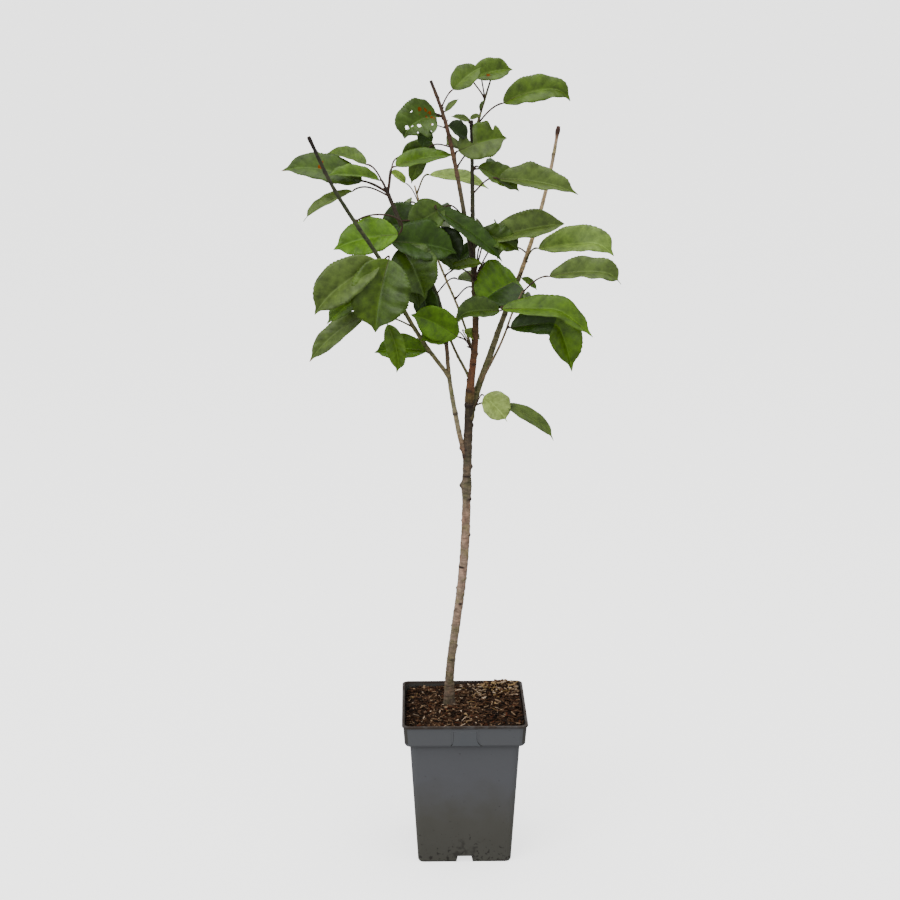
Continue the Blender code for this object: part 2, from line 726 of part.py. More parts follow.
def channel_wall():
    """Block inside the pot that the channel is cut from: it starts inside the side wall."""
    width = CHANNEL_WIDTH + 2 * WALL
    depth = CHANNEL_DEPTH + WALL / 2
    height = CHANNEL_HEIGHT + WALL / 2
    centre = (0.0, -(BODY_FOOT / 2 - WALL / 2 - depth / 2), (height + WALL) / 2)
    return box_piece("channel_wall", centre, (width, depth, height), WALL_TAPER)


def channel():
    """Cutter for the channel under the pot: it starts outside the side wall and under the floor."""
    middle_y = -(BODY_FOOT / 2 - CHANNEL_DEPTH / 2 + CUT_PAST)
    size = (CHANNEL_WIDTH, CHANNEL_DEPTH + 2 * CUT_PAST, 2 * CHANNEL_HEIGHT)
    return box_piece("channel", (0.0, middle_y, 0.0), size, CHANNEL_TAPER)


def make_pot():
    """Square nursery pot: collar and lip, drained floor and a raised channel in each side."""
    outside = [ring_at(half, z) for half, z in pot_profile()]
    inside = [ring_at(half, z) for half, z in inner_profile()]
    pot = loft("pot", outside + inside)
    walls = []
    for quarter in range(4):
        walls.append(turned(channel_wall(), quarter))
        walls.append(turned(collar_panel(), quarter))
    fuse(pot, walls, "EXACT")
    for quarter in range(4):
        cut(pot, turned(channel(), quarter))
        cut(pot, turned(drain_hole(), quarter))
    keep_one_body(pot)
    pot.data.materials.append(material("grey_plastic", (78, 79, 82), 0.5))


def collar_half(z):
    """Half width of the collar's face at a height."""
    share = (z - COLLAR_Z) / (COLLAR_HEIGHT - LIP_HEIGHT)
    return (COLLAR_FOOT + (COLLAR_TOP - COLLAR_FOOT) * share) / 2


def collar_panel():
    """Plain plate that stands a little proud in the middle of the collar and follows its slope."""
    low = COLLAR_Z + PANEL_ABOVE
    vertices = []
    for z in (low, low + PANEL_HEIGHT):
        half = collar_half(z)
        for x, y in ((-0.5, PANEL_PROUD), (0.5, PANEL_PROUD), (0.5, -0.5 * WALL), (-0.5, -0.5 * WALL)):
            vertices.append((x * PANEL_WIDTH, -(half + y), z))
    return make_object("panel", vertices, BOX_FACES, smooth=False)


def drain_hole():
    """Cutter for one round drain hole in the floor."""
    circle = [(DRAIN_PLACE + DRAIN_RADIUS * math.cos(a), DRAIN_PLACE + DRAIN_RADIUS * math.sin(a))
              for a in np.arange(12) * math.pi / 6]
    return loft("drain", [[(x, y, z) for x, y in circle] for z in (-WALL, WALL * 3)], smooth=False)


def mix_height(x, y):
    """Top of the potting mix: level round the trunk, rising to the right and gently uneven."""
    away = math.hypot(x - TREE_FOOT[0], y - TREE_FOOT[1])
    ease = min(max((away - FLAT_RADIUS) / FLAT_RADIUS, 0.0), 1.0)
    rough = math.sin(90 * x + 40 * y) + math.sin(130 * y - 55 * x + 1.3) + 0.6 * math.sin(210 * x + 1.9)
    return MIX_LEVEL + ease * (MIX_SLOPE * (x + 0.4 * y) - 0.001 + MIX_ROUGHNESS * rough / 2.6)


def make_potting_mix():
    """Filling of potting mix: a body inside the pot's walls with an uneven top."""
    floor = CHANNEL_HEIGHT + 2 * WALL + GAP
    slope = (BODY_TOP - BODY_FOOT) / 2 / (COLLAR_Z - SHOULDER)
    inside = WALL + 2 * GAP
    step_z = COLLAR_Z + WALL
    halves = ((BODY_FOOT / 2 - inside + slope * (floor - WALL), floor),
              (BODY_TOP / 2 - inside, step_z - SHOULDER),
              (BODY_TOP / 2 - inside, step_z + GAP),
              (COLLAR_FOOT / 2 - inside, step_z + GAP))
    rings = [ring_at(half, z) for half, z in halves]
    top_half = COLLAR_TOP / 2 - inside - 3 * GAP
    for share in MIX_RINGS:
        rings.append([(x, y, mix_height(x, y)) for x, y, z in ring_at(top_half * share, 0.0)])
    mix = loft("potting_mix", rings)
    mix.data.materials.append(material("potting_mix", (52, 38, 28), 0.95))


def main():
    remove(bpy.data.objects)
    make_pot()
    make_potting_mix()
    make_tree()


main()
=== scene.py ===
"""Looks of a young potted cherry tree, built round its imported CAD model.

Metres, +Z up, and -Y is towards the viewer. Lengths in the plan of the tree are millimetres
and its angles are degrees. A lean is measured from the vertical, a rise from the level, and a
heading is seen from above: 0 is right, 90 is back, 180 is left and 270 is front. The plan and
the rule that grows it are the ones of the CAD source, carried on to bark, veins and teeth.
"""
import sys

import json
import logging
import math
from dataclasses import dataclass
from enum import Enum
from functools import partial
from typing import Callable

import bpy
import numpy as np
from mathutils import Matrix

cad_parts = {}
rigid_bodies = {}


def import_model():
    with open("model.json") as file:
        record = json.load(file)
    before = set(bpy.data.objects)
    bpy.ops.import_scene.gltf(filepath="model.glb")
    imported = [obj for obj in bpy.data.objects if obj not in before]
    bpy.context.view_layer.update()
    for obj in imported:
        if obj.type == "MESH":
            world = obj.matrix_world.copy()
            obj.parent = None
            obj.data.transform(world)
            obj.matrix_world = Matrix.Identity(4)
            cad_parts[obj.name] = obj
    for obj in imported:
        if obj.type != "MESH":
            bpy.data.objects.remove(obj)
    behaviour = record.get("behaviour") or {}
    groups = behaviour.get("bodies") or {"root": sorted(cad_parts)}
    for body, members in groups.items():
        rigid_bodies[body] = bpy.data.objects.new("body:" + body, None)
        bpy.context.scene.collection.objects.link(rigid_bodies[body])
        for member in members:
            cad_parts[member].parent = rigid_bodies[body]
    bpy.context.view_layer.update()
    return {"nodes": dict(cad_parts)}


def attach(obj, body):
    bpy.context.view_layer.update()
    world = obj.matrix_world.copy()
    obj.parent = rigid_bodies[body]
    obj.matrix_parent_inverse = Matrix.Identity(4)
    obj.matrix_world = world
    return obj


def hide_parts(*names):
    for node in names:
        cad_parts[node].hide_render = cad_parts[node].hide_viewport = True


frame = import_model()

LOG = logging.getLogger("cherry_tree")
Array = np.ndarray
Socket = bpy.types.NodeSocket
Number = Socket | float
Colour = tuple[float, float, float, float]

MM = 0.001
SEED = 22                       # of the CAD source's rule; other seeds are for the looks alone
BODY = "root"
TREE_FOOT = (-0.0205, 0.0150, 0.2008)
VEINS = 9.0                     # side veins along a blade
VEIN_LEAD = 0.16                # how far a vein runs on towards the tip, as a share of the length


class Green(Enum):
    """Tints dealt to the leaves, youngest to shaded: SUNLIT is painted light, SHEEN painted sheen, DARK and SHADE
    painted shade.
    """

    YOUNG = "#96ab5a"
    PALE = "#7c963e"
    SUNLIT = "#6a8434"
    VIVID = "#52780a"
    FRESH = "#4a680c"
    MID = "#475f12"
    SHEEN = "#4f6226"
    DEEP = "#3d5414"
    DARK = "#2a4404"
    SHADE = "#1c2e02"


@dataclass(frozen=True)
class Look:
    """What a leaf's outline and surface have of their own, past its place in the plan."""

    hook: float = 5.0           # how far the tip turns down past the plan's droop
    twist: float = 0.0          # how far the upper side turns on from foot to tip
    belly: float = 0.45         # share of the length where the blade is widest
    crumple: float = 1.0        # how much stronger than usual the margin waves
    bites: tuple = ()           # side, place, half length and depth, as shares
    holes: tuple = ()           # place across from -1 to 1, place along, radius as a share
    spots: tuple = ()           # the same, for dead brown patches
    green_stalk: bool = False
    arch: float = 0.12          # how high the stalk arches, as a share of its length
    fine: bool = False          # a closer grid, for leaves with holes and patches
    sharp: float = 0.0          # share of the droop that is one bend
    bend_at: float = 0.5        # place of that bend
    drawn: float = 0.16         # how much the tip is drawn out
    shade_patch: tuple = ()           # painted shade, a darker tint where part of the blade is turned from the light: side or 0 for both, from, to, tint
    unseen: bool = False        # left out of the looks, where the photograph shows sky


@dataclass(frozen=True)
class Leaf:
    """One leaf: where its stalk leaves the shoot, the stalk, the blade and how it hangs."""

    at: float                   # share of the shoot's length
    stalk: tuple                # length, rise, heading
    blade: tuple                # length, rise, heading
    droop: float = 25.0         # how far the tip turns down
    tilt: float = 30.0          # how far the upper side leans towards its face heading
    width: float = 0.50         # share of the blade's length
    green: Green = Green.MID
    look: Look = Look()
    face: float = 270.0


@dataclass(frozen=True)
class Knot:
    """A bump on a limb: its place along in mm, its heading, and how high, long and wide it is."""

    along: float
    heading: float
    high: float
    long: float = 3.0
    wide: float = 45.0          # half width in degrees; 360 goes all the way round
    dark: float = 0.8           # how much of it is scar


@dataclass(frozen=True)
class Shoot:
    """One limb and what grows on it."""

    name: str
    parent: str
    at: float                   # share of the parent's length
    runs: tuple                 # each one is length, lean, heading
    radii: tuple                # millimetres at the foot and at the tip
    bare: float                 # share that is a bough, before the foliage
    foliage: str = ""
    leaves: tuple = ()
    spare: int = 0              # leaves that the seeded rule adds towards the back
    sky: tuple = ()             # turns of the rule whose leaf would close a gap in the photograph
    more: tuple = ()            # leaves that only the looks have, between the others
    behind: tuple = ()          # planned leaves that hide one more behind them, by their numbers
    tints: tuple = ()           # share along the limb and bark colour
    knots: tuple = ()
    rough: float = 0.10         # height of the bark's grain, mm


OLIVE = ((0.0, "#77704f"), (0.45, "#5d5c3a"), (1.0, "#4a4631"))
SPUR = ((0.0, "#5f4c38"), (1.0, "#4f3f30"))

TRUNK = Shoot(
    "trunk", "", 0.0, radii=(6.0, 5.6), bare=1.0, rough=0.16,
    runs=((50, 2, 320), (60, 8, 340), (80, 8, 335), (65, 4.5, 330), (85, 2, 280), (95, 2, 0)),
    tints=((0.0, "#54463a"), (0.06, "#6a5a49"), (0.20, "#8a7866"), (0.45, "#9c8573"), (0.66, "#967d68"),
           (0.70, "#756856"), (0.80, "#584e3d"), (0.90, "#4a3f2f"), (1.0, "#3c3022")),
    knots=(Knot(30, 0, 0.5, 1.6, 360, 0.3), Knot(230, 0, 0.25, 48, 360, 0), Knot(372, 0, 0.4, 22, 360, 0),
           Knot(88, 5, 1.5, 2.1, 34, 0.95), Knot(117, 185, 1.3, 2.0, 30, 0.95), Knot(152, 285, 0.8, 2.2, 34, 0.95),
           Knot(173, 190, 1.2, 2.0, 34, 0.6), Knot(188, 0, 1.0, 1.8, 30, 0.7), Knot(205, 230, 0.9, 1.9, 75, 1.0),
           Knot(240, 205, 0.8, 1.8, 30, 0.7), Knot(251, 335, 1.5, 2.0, 40, 1.0), Knot(271, 185, 1.2, 1.6, 26, 0.9),
           Knot(291, 280, 0.2, 1.8, 40, 0.45), Knot(302, 325, 1.7, 2.1, 62, 1.0), Knot(318, 0, 1.3, 10.0, 360, 0),
           Knot(321, 190, 3.4, 3.8, 28, 0.8), Knot(334, 265, 0.4, 1.7, 80, 1.0), Knot(347, 345, 2.2, 3.0, 34, 0.95),
           Knot(371, 215, 1.0, 3.2, 60, 0.85), Knot(380, 200, 0.8, 5.0, 50, 0.0), Knot(404, 350, 1.1, 3.2, 36, 0.6),
           Knot(408, 235, 0.1, 13.0, 44, 0.55), Knot(431, 235, 1.6, 2.8, 110, 1.0)))

LEADER = Shoot(
    "leader", "trunk", 1.0, radii=(5.2, 1.9), bare=0.57, foliage="leader_foliage", rough=0.30, behind=(0, 1),
    runs=((40, 6, 27), (35, 7, 15), (45, 3, 75), (45, 3.5, 160), (80, 1, 200), (70, 1, 220), (55, 3, 240)),
    leaves=(
        Leaf(0.745, (43, 30, 335), (105, -10, 0), 20, 45, 0.42, Green.SHEEN, Look(8, -8, 0.42, 1.5)),
        Leaf(0.83, (10, 25, 330), (62, -30, 0), 20, 45, 0.54, Green.MID),
        Leaf(0.985, (5, 70, 180), (25, 15, 180), 15, 35, 0.48, Green.SHEEN),
    ),
    more=(Leaf(0.985, (8, 78, 200), (15, 15, 350), 10, 45, 0.60, Green.SHEEN),),
    tints=((0.0, "#4a3a22"), (0.02, "#7a6038"), (0.05, "#6c4529"), (0.14, "#70482c"), (0.26, "#6a4c31"),
           (0.40, "#5c5035"), (0.60, "#4b4730"), (0.80, "#40402c"), (1.0, "#2f2a20")),
    knots=(Knot(6, 0, 1.2, 18, 360, 0), Knot(16, 250, 1.0, 3.0, 60), Knot(30, 180, 1.1, 3.0, 50),
           Knot(52, 290, 0.8, 2.4, 50), Knot(66, 0, 1.4, 2.2, 40), Knot(84, 200, 0.8, 2.2, 50),
           Knot(112, 330, 0.9, 2.0, 44), Knot(148, 190, 0.8, 2.0, 44), Knot(186, 20, 0.7, 1.8, 44),
           Knot(368, 0, 0.7, 9, 360, 0.9)))

TOP_SIDE = Shoot(
    "top_side_shoot", "leader", 0.905, radii=(1.6, 1.2), bare=0.0, foliage="leader_foliage", behind=(0,),
    runs=((44, 19, 44), (22, 22, 38), (24, 19, 22)),
    leaves=(
        Leaf(0.72, (32, 62, 200), (54, 10, 20), 20, 55, 0.66, Green.MID, Look(spots=((0.3, 0.32, 0.05),))),
        Leaf(0.35, (43, 38, 10), (96, 9, 5), 42, 55, 0.42, Green.MID, Look(46, 0, 0.50, 1.6)),
        Leaf(0.55, (4, 20, 245), (14, 65, 340), 10, 20, 0.50, Green.DEEP),
    ),
    tints=OLIVE,
    knots=(Knot(0, 0, 0.7, 34, 360, 0),))

UPPER_LEFT = Shoot(
    "upper_left_bough", "leader", 0.495, radii=(2.7, 1.5), bare=0.20, foliage="upper_left_foliage", behind=(1, 3),
    runs=((64, 14, 223), (76, 13.6, 222), (71, 16.8, 219), (39, 24, 210)),
    leaves=(
        Leaf(0.26, (36, 25, 212), (55, -32, 195), 20, 60, 0.82, Green.DEEP),
        Leaf(0.27, (43, 15, 210), (108, -37, 355), 15, 40, 0.30, Green.DARK, Look(8)),
        Leaf(0.25, (47, -17, 200), (50, -45, 350), 20, 60, 0.86, Green.SHADE),
        # The outer part of one half of this leaf gets painted shade
        Leaf(0.52, (24, 83, 10), (65, 15, 5), 20, 65, 0.76, Green.SHEEN,
             Look(6, 0, 0.52, 1.6, ((-1, 0.31, 0.07, 0.92), (-1, 0.745, 0.035, 0.45)),
                  shade_patch=((-1, 0.42, 1.0, Green.MID),))),
        Leaf(0.64, (36, -10, 150), (48, -62, 165), 20, 60, 0.42, Green.MID),
        Leaf(0.78, (15, 34, 200), (56, -27, 205), 45, 70, 0.98, Green.DEEP,
             Look(34, 0, 0.50, 1.8, ((-1, 0.68, 0.06, 0.45),),
                  ((0.05, 0.76, 0.045), (-0.25, 0.53, 0.042), (-0.10, 0.66, 0.025), (0.50, 0.50, 0.018),
                   (-0.60, 0.25, 0.020), (-0.86, 0.44, 0.030)),
                  ((0.45, 0.35, 0.045), (0.15, 0.14, 0.050), (-0.15, 0.12, 0.040), (0.35, 0.22, 0.042),
                   (-0.55, 0.28, 0.022), (0.0, 0.24, 0.026), (-0.35, 0.09, 0.030), (0.20, 0.38, 0.018)), fine=True)),
        Leaf(0.77, (5, -40, 20), (34, -30, 30), 15, 50, 0.74, Green.SHADE),
        Leaf(0.84, (5, -20, 0), (24, 40, 25), 10, 30, 0.40, Green.SHEEN),
        Leaf(0.85, (28, 55, 20), (50, 33, 30), 20, 50, 0.66, Green.MID),
    ),
    more=(
        Leaf(0.80, (5, 10, 195), (18, 12, 190), 10, 40, 0.42, Green.MID),
        Leaf(0.74, (23, -2, 192), (24, -65, 200), 10, 60, 0.85, Green.DARK, Look(10, 0, 0.45, 3.0)),
    ),
    tints=((0.0, "#4b4731"), (0.35, "#57523c"), (0.62, "#6a4a3a"), (0.85, "#5d4636"), (0.97, "#4a382c"),
           (1.0, "#2b221b")),
    knots=(Knot(160, 0, 0.7, 170, 360, 0),))

LEFT = Shoot(
    "left_bough", "trunk", 0.815, radii=(2.9, 1.6), bare=0.56, foliage="left_foliage", behind=(2, 6),
    runs=((15, 20, 205), (52, 13, 209), (56, 11, 208), (49, 8, 245), (55, 11, 215), (56, 26, 195), (34, 31, 194),
          (48, 23, 199), (26, 22, 195)),
    leaves=(
        Leaf(0.61, (22, 30, 200), (54, -75, 310), 15, 75, 0.64, Green.DARK),
        Leaf(0.74, (33, 30, 216), (72, -58, 328), 20, 70, 0.90, Green.DEEP),
        Leaf(0.745, (45, 30, 210), (86, -10, 5), 20, 55, 0.68, Green.DARK),
        Leaf(0.88, (43, -12, 35), (65, -5, 165), 20, 60, 0.88, Green.DARK),
        Leaf(0.97, (50, 10, 200), (74, -27, 195), 22, 20, 0.30, Green.SHEEN, Look(14, 0, 0.42, drawn=0.30)),
        Leaf(0.985, (19, 55, 200), (72, 8, 205), 20, 30, 0.40, Green.FRESH),
        Leaf(0.98, (37, 26, 190), (104, 10, 185), 30, 45, 0.42, Green.DEEP,
             Look(10, 0, 0.44, spots=((0.15, 0.52, 0.028), (0.35, 0.50, 0.020), (0.0, 0.985, 0.02)))),
        Leaf(0.99, (42, 52, 178), (62, 10, 155), 25, 25, 0.45, Green.MID),
        Leaf(0.985, (34, 70, 20), (84, 8, 20), 20, 32, 0.38, Green.FRESH, Look(5, 0, 0.32)),
    ),
    more=(
        Leaf(0.75, (24, -10, 222), (64, -68, 330), 20, 75, 0.66, Green.DEEP, Look(8, 0, 0.46, 1.6)),
        Leaf(0.98, (56, 50, 60), (50, 8, 15), 20, 70, 0.66, Green.DEEP, Look(10, 0, 0.45, 2.2)),
    ),
    tints=((0.0, "#6e4a38"), (0.05, "#7c6450"), (0.12, "#8a8468"), (0.30, "#807a5a"), (0.40, "#5d4a38"),
           (0.55, "#454a2c"), (0.85, "#3b3a26"), (0.97, "#352a20"), (1.0, "#231c16")),
    knots=(Knot(50, 0, 0.6, 90, 360, 0), Knot(330, 0, 1.0, 130, 360, 0), Knot(9, 0, 0.2, 3.6, 360, 0.8),
           Knot(20, 190, 2.0, 2.6, 32, 0.9), Knot(70, 0, 0.5, 2.6, 360, 0.8), Knot(170, 180, 1.6, 3.0, 70, 0.9),
           Knot(170, 0, 0.6, 2.5, 360, 0.7)))

FAR_LEFT = Shoot(
    "far_left_bough", "left_bough", 0.312, radii=(2.2, 1.5), bare=0.08, foliage="far_left_foliage",
    behind=(0, 4, 5),
    runs=((60, 41, 219), (59, 36, 219), (79, 27, 224), (63, 37, 212), (56, 34, 209), (71, 26, 209)),
    leaves=(
        Leaf(0.10, (14, 40, 205), (72, -4, 164), 20, 58, 0.52, Green.VIVID, Look(green_stalk=True)),
        Leaf(0.24, (42, 12, 215), (64, -75, 335), 25, 80, 0.42, Green.FRESH, Look(20, green_stalk=True)),
        Leaf(0.38, (45, -30, 185), (98, -40, 180), 25, 50, 0.30, Green.SHEEN, Look(4, spots=((0.0, 0.98, 0.025),))),
        Leaf(0.45, (27, -35, 185), (72, -35, 190), 15, 40, 0.42, Green.FRESH),
        # One half of this leaf gets painted shade
        Leaf(0.51, (20, 20, 300), (93, -75, 225), 20, 80, 0.84, Green.MID,
             Look(0, 0, 0.46, 1.5, shade_patch=((-1, 0.0, 1.0, Green.DEEP),))),
        Leaf(0.515, (18, 0, 265), (105, -35, 195), 35, 60, 0.52, Green.SHEEN, Look(6, 0, 0.5)),
        Leaf(0.68, (68, -18, 35), (86, -13, 170), 22, 60, 0.56, Green.VIVID, Look(4, arch=0.36)),
    ),
    tints=((0.0, "#7d7452"), (0.20, "#717045"), (0.45, "#4a5230"), (0.75, "#3d4229"), (0.94, "#332f22"),
           (0.96, "#1a1611"), (1.0, "#14110d")),
    knots=(Knot(200, 0, 0.8, 300, 360, 0), Knot(384, 0, 0.4, 9, 360, 0.5)))

INNER_LEFT = Shoot(
    "inner_left_bough", "leader", 0.08, radii=(2.0, 1.2), bare=0.33, foliage="inner_left_foliage", spare=5,
    sky=(1,),
    runs=((57, 43, 130), (53, 32, 125), (56, 26, 126)),
    leaves=(Leaf(0.50, (30, 22, 305), (20, 60, 340), 10, 30, 0.60, Green.PALE),),
    tints=OLIVE)

BACK = Shoot(
    "back_bough", "leader", 0.17, radii=(1.4, 0.9), bare=0.28, foliage="back_foliage", spare=5, sky=(0, 1),
    runs=((68, 29, 125), (47, 35, 133), (89, 28, 134), (40, 21, 136)),
    leaves=(
        Leaf(0.33, (33, 30, 335), (55, -30, 345), 20, 50, 0.50, Green.DEEP),
        Leaf(0.47, (17, 40, 335), (56, 45, 340), 25, 40, 0.45, Green.DARK),
        Leaf(0.83, (51, 61, 198), (27, 36, 195), 20, 40, 0.56, Green.PALE),
        Leaf(0.955, (31, 55, 350), (85, -10, 340), 30, 30, 0.30, Green.PALE, Look(green_stalk=True)),
    ),
    tints=((0.0, "#8a8260"), (0.5, "#a59a78"), (1.0, "#9b8d6c")),
    knots=(Knot(150, 0, 0.4, 150, 360, 0),))

RIGHT = Shoot(
    "right_bough", "trunk", 0.945, radii=(4.2, 2.1), bare=0.48, foliage="right_foliage", spare=4,
    runs=((43, 23, 45), (40, 26, 35), (53, 25, 39), (68, 28, 36), (80, 24, 39), (76, 19, 40), (50, 15, 50)),
    leaves=(
        # The lower half of this leaf gets painted shade
        Leaf(0.495, (21, -5, 260), (80, -18, 222), 20, 60, 0.92, Green.VIVID,
             Look(10, 0, 0.46, green_stalk=True, shade_patch=((-1, 0.1, 1.0, Green.DARK),))),
        Leaf(0.50, (6, -30, 295), (26, -35, 345), 10, 30, 0.50, Green.FRESH),
        Leaf(0.54, (30, 47, 335), (107, -4, 345), 30, 40, 0.46, Green.SUNLIT,
             Look(26, 0, 0.54, green_stalk=True, sharp=0.7, bend_at=0.72)),
    ),
    tints=((0.0, "#5f563b"), (0.10, "#6f6a48"), (0.35, "#7d7656"), (0.50, "#a08a66"), (0.62, "#b49a72"),
           (0.80, "#b3a07f"), (0.95, "#a08b70"), (0.985, "#7a4a3c"), (1.0, "#5a3028")),
    knots=(Knot(60, 0, 0.6, 80, 360, 0), Knot(330, 20, 0.9, 2.0, 360), Knot(372, 200, 1.0, 3.0, 50),
           Knot(404, 0, 1.1, 5.5, 360)))

NEAR_RIGHT = Shoot(
    "near_right_bough", "right_bough", 0.115, radii=(1.7, 1.2), bare=0.50, foliage="near_right_foliage",
    behind=(2,),
    runs=((43, 29, 331), (36, 28, 325), (42, 23, 310), (30, 29, 325)),
    leaves=(
        # The part of this leaf before its sharp bend gets painted shade
        Leaf(0.62, (6, 10, 315), (126, -32, 353), 85, 45, 0.42, Green.FRESH,
             Look(6, 0, 0.46, 1.4, sharp=0.85, bend_at=0.48, shade_patch=((0, 0.0, 0.46, Green.DARK),))),
        Leaf(0.86, (23, -20, 185), (62, -3, 195), 25, 45, 0.58, Green.DEEP, Look(40)),
        Leaf(0.85, (22, -5, 215), (130, -17, 350), 42, 40, 0.29, Green.FRESH,
             Look(8, 0, 0.48, 1.3, sharp=0.75, bend_at=0.56)),
        Leaf(0.98, (42, 30, 8), (100, 0, 5), 26, 40, 0.40, Green.SHEEN, Look(40, 0, 0.60, 1.8, drawn=0.34)),
    ),
    tints=((0.0, "#7b6a4c"), (1.0, "#84725a")))

MIDDLE_SPUR = Shoot(
    "middle_spur", "leader", 0.43, radii=(1.6, 1.3), bare=0.0, foliage="middle_foliage", behind=(2, 3),
    runs=((12, 60, 270),),
    leaves=(
        Leaf(0.90, (26, 40, 215), (50, 30, 195), 20, 50, 0.45, Green.DEEP),
        Leaf(0.95, (30, 55, 300), (45, -10, 185), 15, 40, 0.40, Green.MID),
        Leaf(0.95, (56, 70, 336), (103, 11, 8), 16, 45, 0.47, Green.SHEEN, Look(0, 0, 0.56, 1.2, drawn=0.06)),
        Leaf(0.90, (66, 79, 297), (58, -24, 0), 15, 60, 0.64, Green.DEEP, Look(10, 0, 0.45, 3.4)),
    ),
    tints=SPUR)

LOW_SPUR = Shoot(
    "low_spur", "leader", 0.19, radii=(1.6, 1.3), bare=0.0, foliage="low_foliage",
    runs=((10, 60, 230),),
    leaves=(
        Leaf(0.90, (49, 34, 226), (42, -12, 200), 34, 74, 0.74, Green.VIVID, Look(8, 0, 0.42, 2.0)),
        Leaf(0.90, (42, 30, 240), (72, 28, 198), 20, 75, 0.60, Green.VIVID, Look(4, 0, 0.5)),
    ),
    more=(Leaf(0.90, (24, 66, 150), (26, -30, 15), 10, 60, 0.60, Green.PALE),),
    tints=SPUR)

LOW_SPRIG = Shoot(
    "low_sprig", "trunk", 0.975, radii=(1.5, 1.0), bare=0.0, foliage="low_sprig_foliage",
    runs=((14, 50, 335),),
    leaves=(
        Leaf(0.90, (18, 48, 335), (46, -47, 350), 15, 60, 0.88, Green.YOUNG, Look(6, 0, 0.38, drawn=0.26)),
        Leaf(0.90, (40, 2, 350), (82, -33, 355), 24, 40, 0.27, Green.SHEEN,
             Look(22, 0, 0.38, drawn=0.2, green_stalk=True)),
    ),
    tints=SPUR)

SHOOTS = (TRUNK, LEADER, TOP_SIDE, UPPER_LEFT, LEFT, FAR_LEFT, INNER_LEFT, BACK, RIGHT, NEAR_RIGHT,
          MIDDLE_SPUR, LOW_SPUR, LOW_SPRIG)

# Half width of a blade along its length in the CAD source, which the spare leaves are tested with
BLADE_SHARES = (0.10, 0.24, 0.40, 0.56, 0.72, 0.87)
BLADE_WIDTHS = (0.56, 0.90, 1.00, 0.90, 0.62, 0.26)


def linear(colour: str) -> Colour:
    """Turns an sRGB hex value to linear light.

    Args:
        colour: a hex value such as "#586d2a".
    Returns:
        Red, green, blue and an alpha of one.
    """
    parts = np.array([int(colour[k:k + 2], 16) / 255 for k in (1, 3, 5)])
    parts = np.where(parts <= 0.04045, parts / 12.92, ((parts + 0.055) / 1.055) ** 2.4)
    return (*parts.tolist(), 1.0)


def toned(colour: str, share: float) -> Colour:
    """Turns an sRGB hex value to linear light and makes it lighter or darker by a factor."""
    *parts, alpha = linear(colour)
    return (*[part * share for part in parts], alpha)


def feed(tree: bpy.types.NodeTree, node: bpy.types.Node, inputs: dict) -> None:
    """Sets or links a node's inputs.

    Args:
        tree: the material's or the world's node tree.
        node: the node.
        inputs: for each input, by name or number, a value or the socket that feeds it.
    """
    for key, value in inputs.items():
        if isinstance(value, Socket):
            tree.links.new(value, node.inputs[key])
        else:
            node.inputs[key].default_value = value


def add(tree: bpy.types.NodeTree, kind: str, inputs: dict | None = None, **settings: object) -> bpy.types.Node:
    """Adds one node with its settings and links.

    Args:
        tree: the material's or the world's node tree.
        kind: the node's type, past "ShaderNode".
        inputs: what feed takes.
        settings: the node's own settings.
    Returns:
        The node.
    """
    node = tree.nodes.new("ShaderNode" + kind)
    for key, value in settings.items():
        setattr(node, key, value)
    feed(tree, node, inputs or {})
    return node


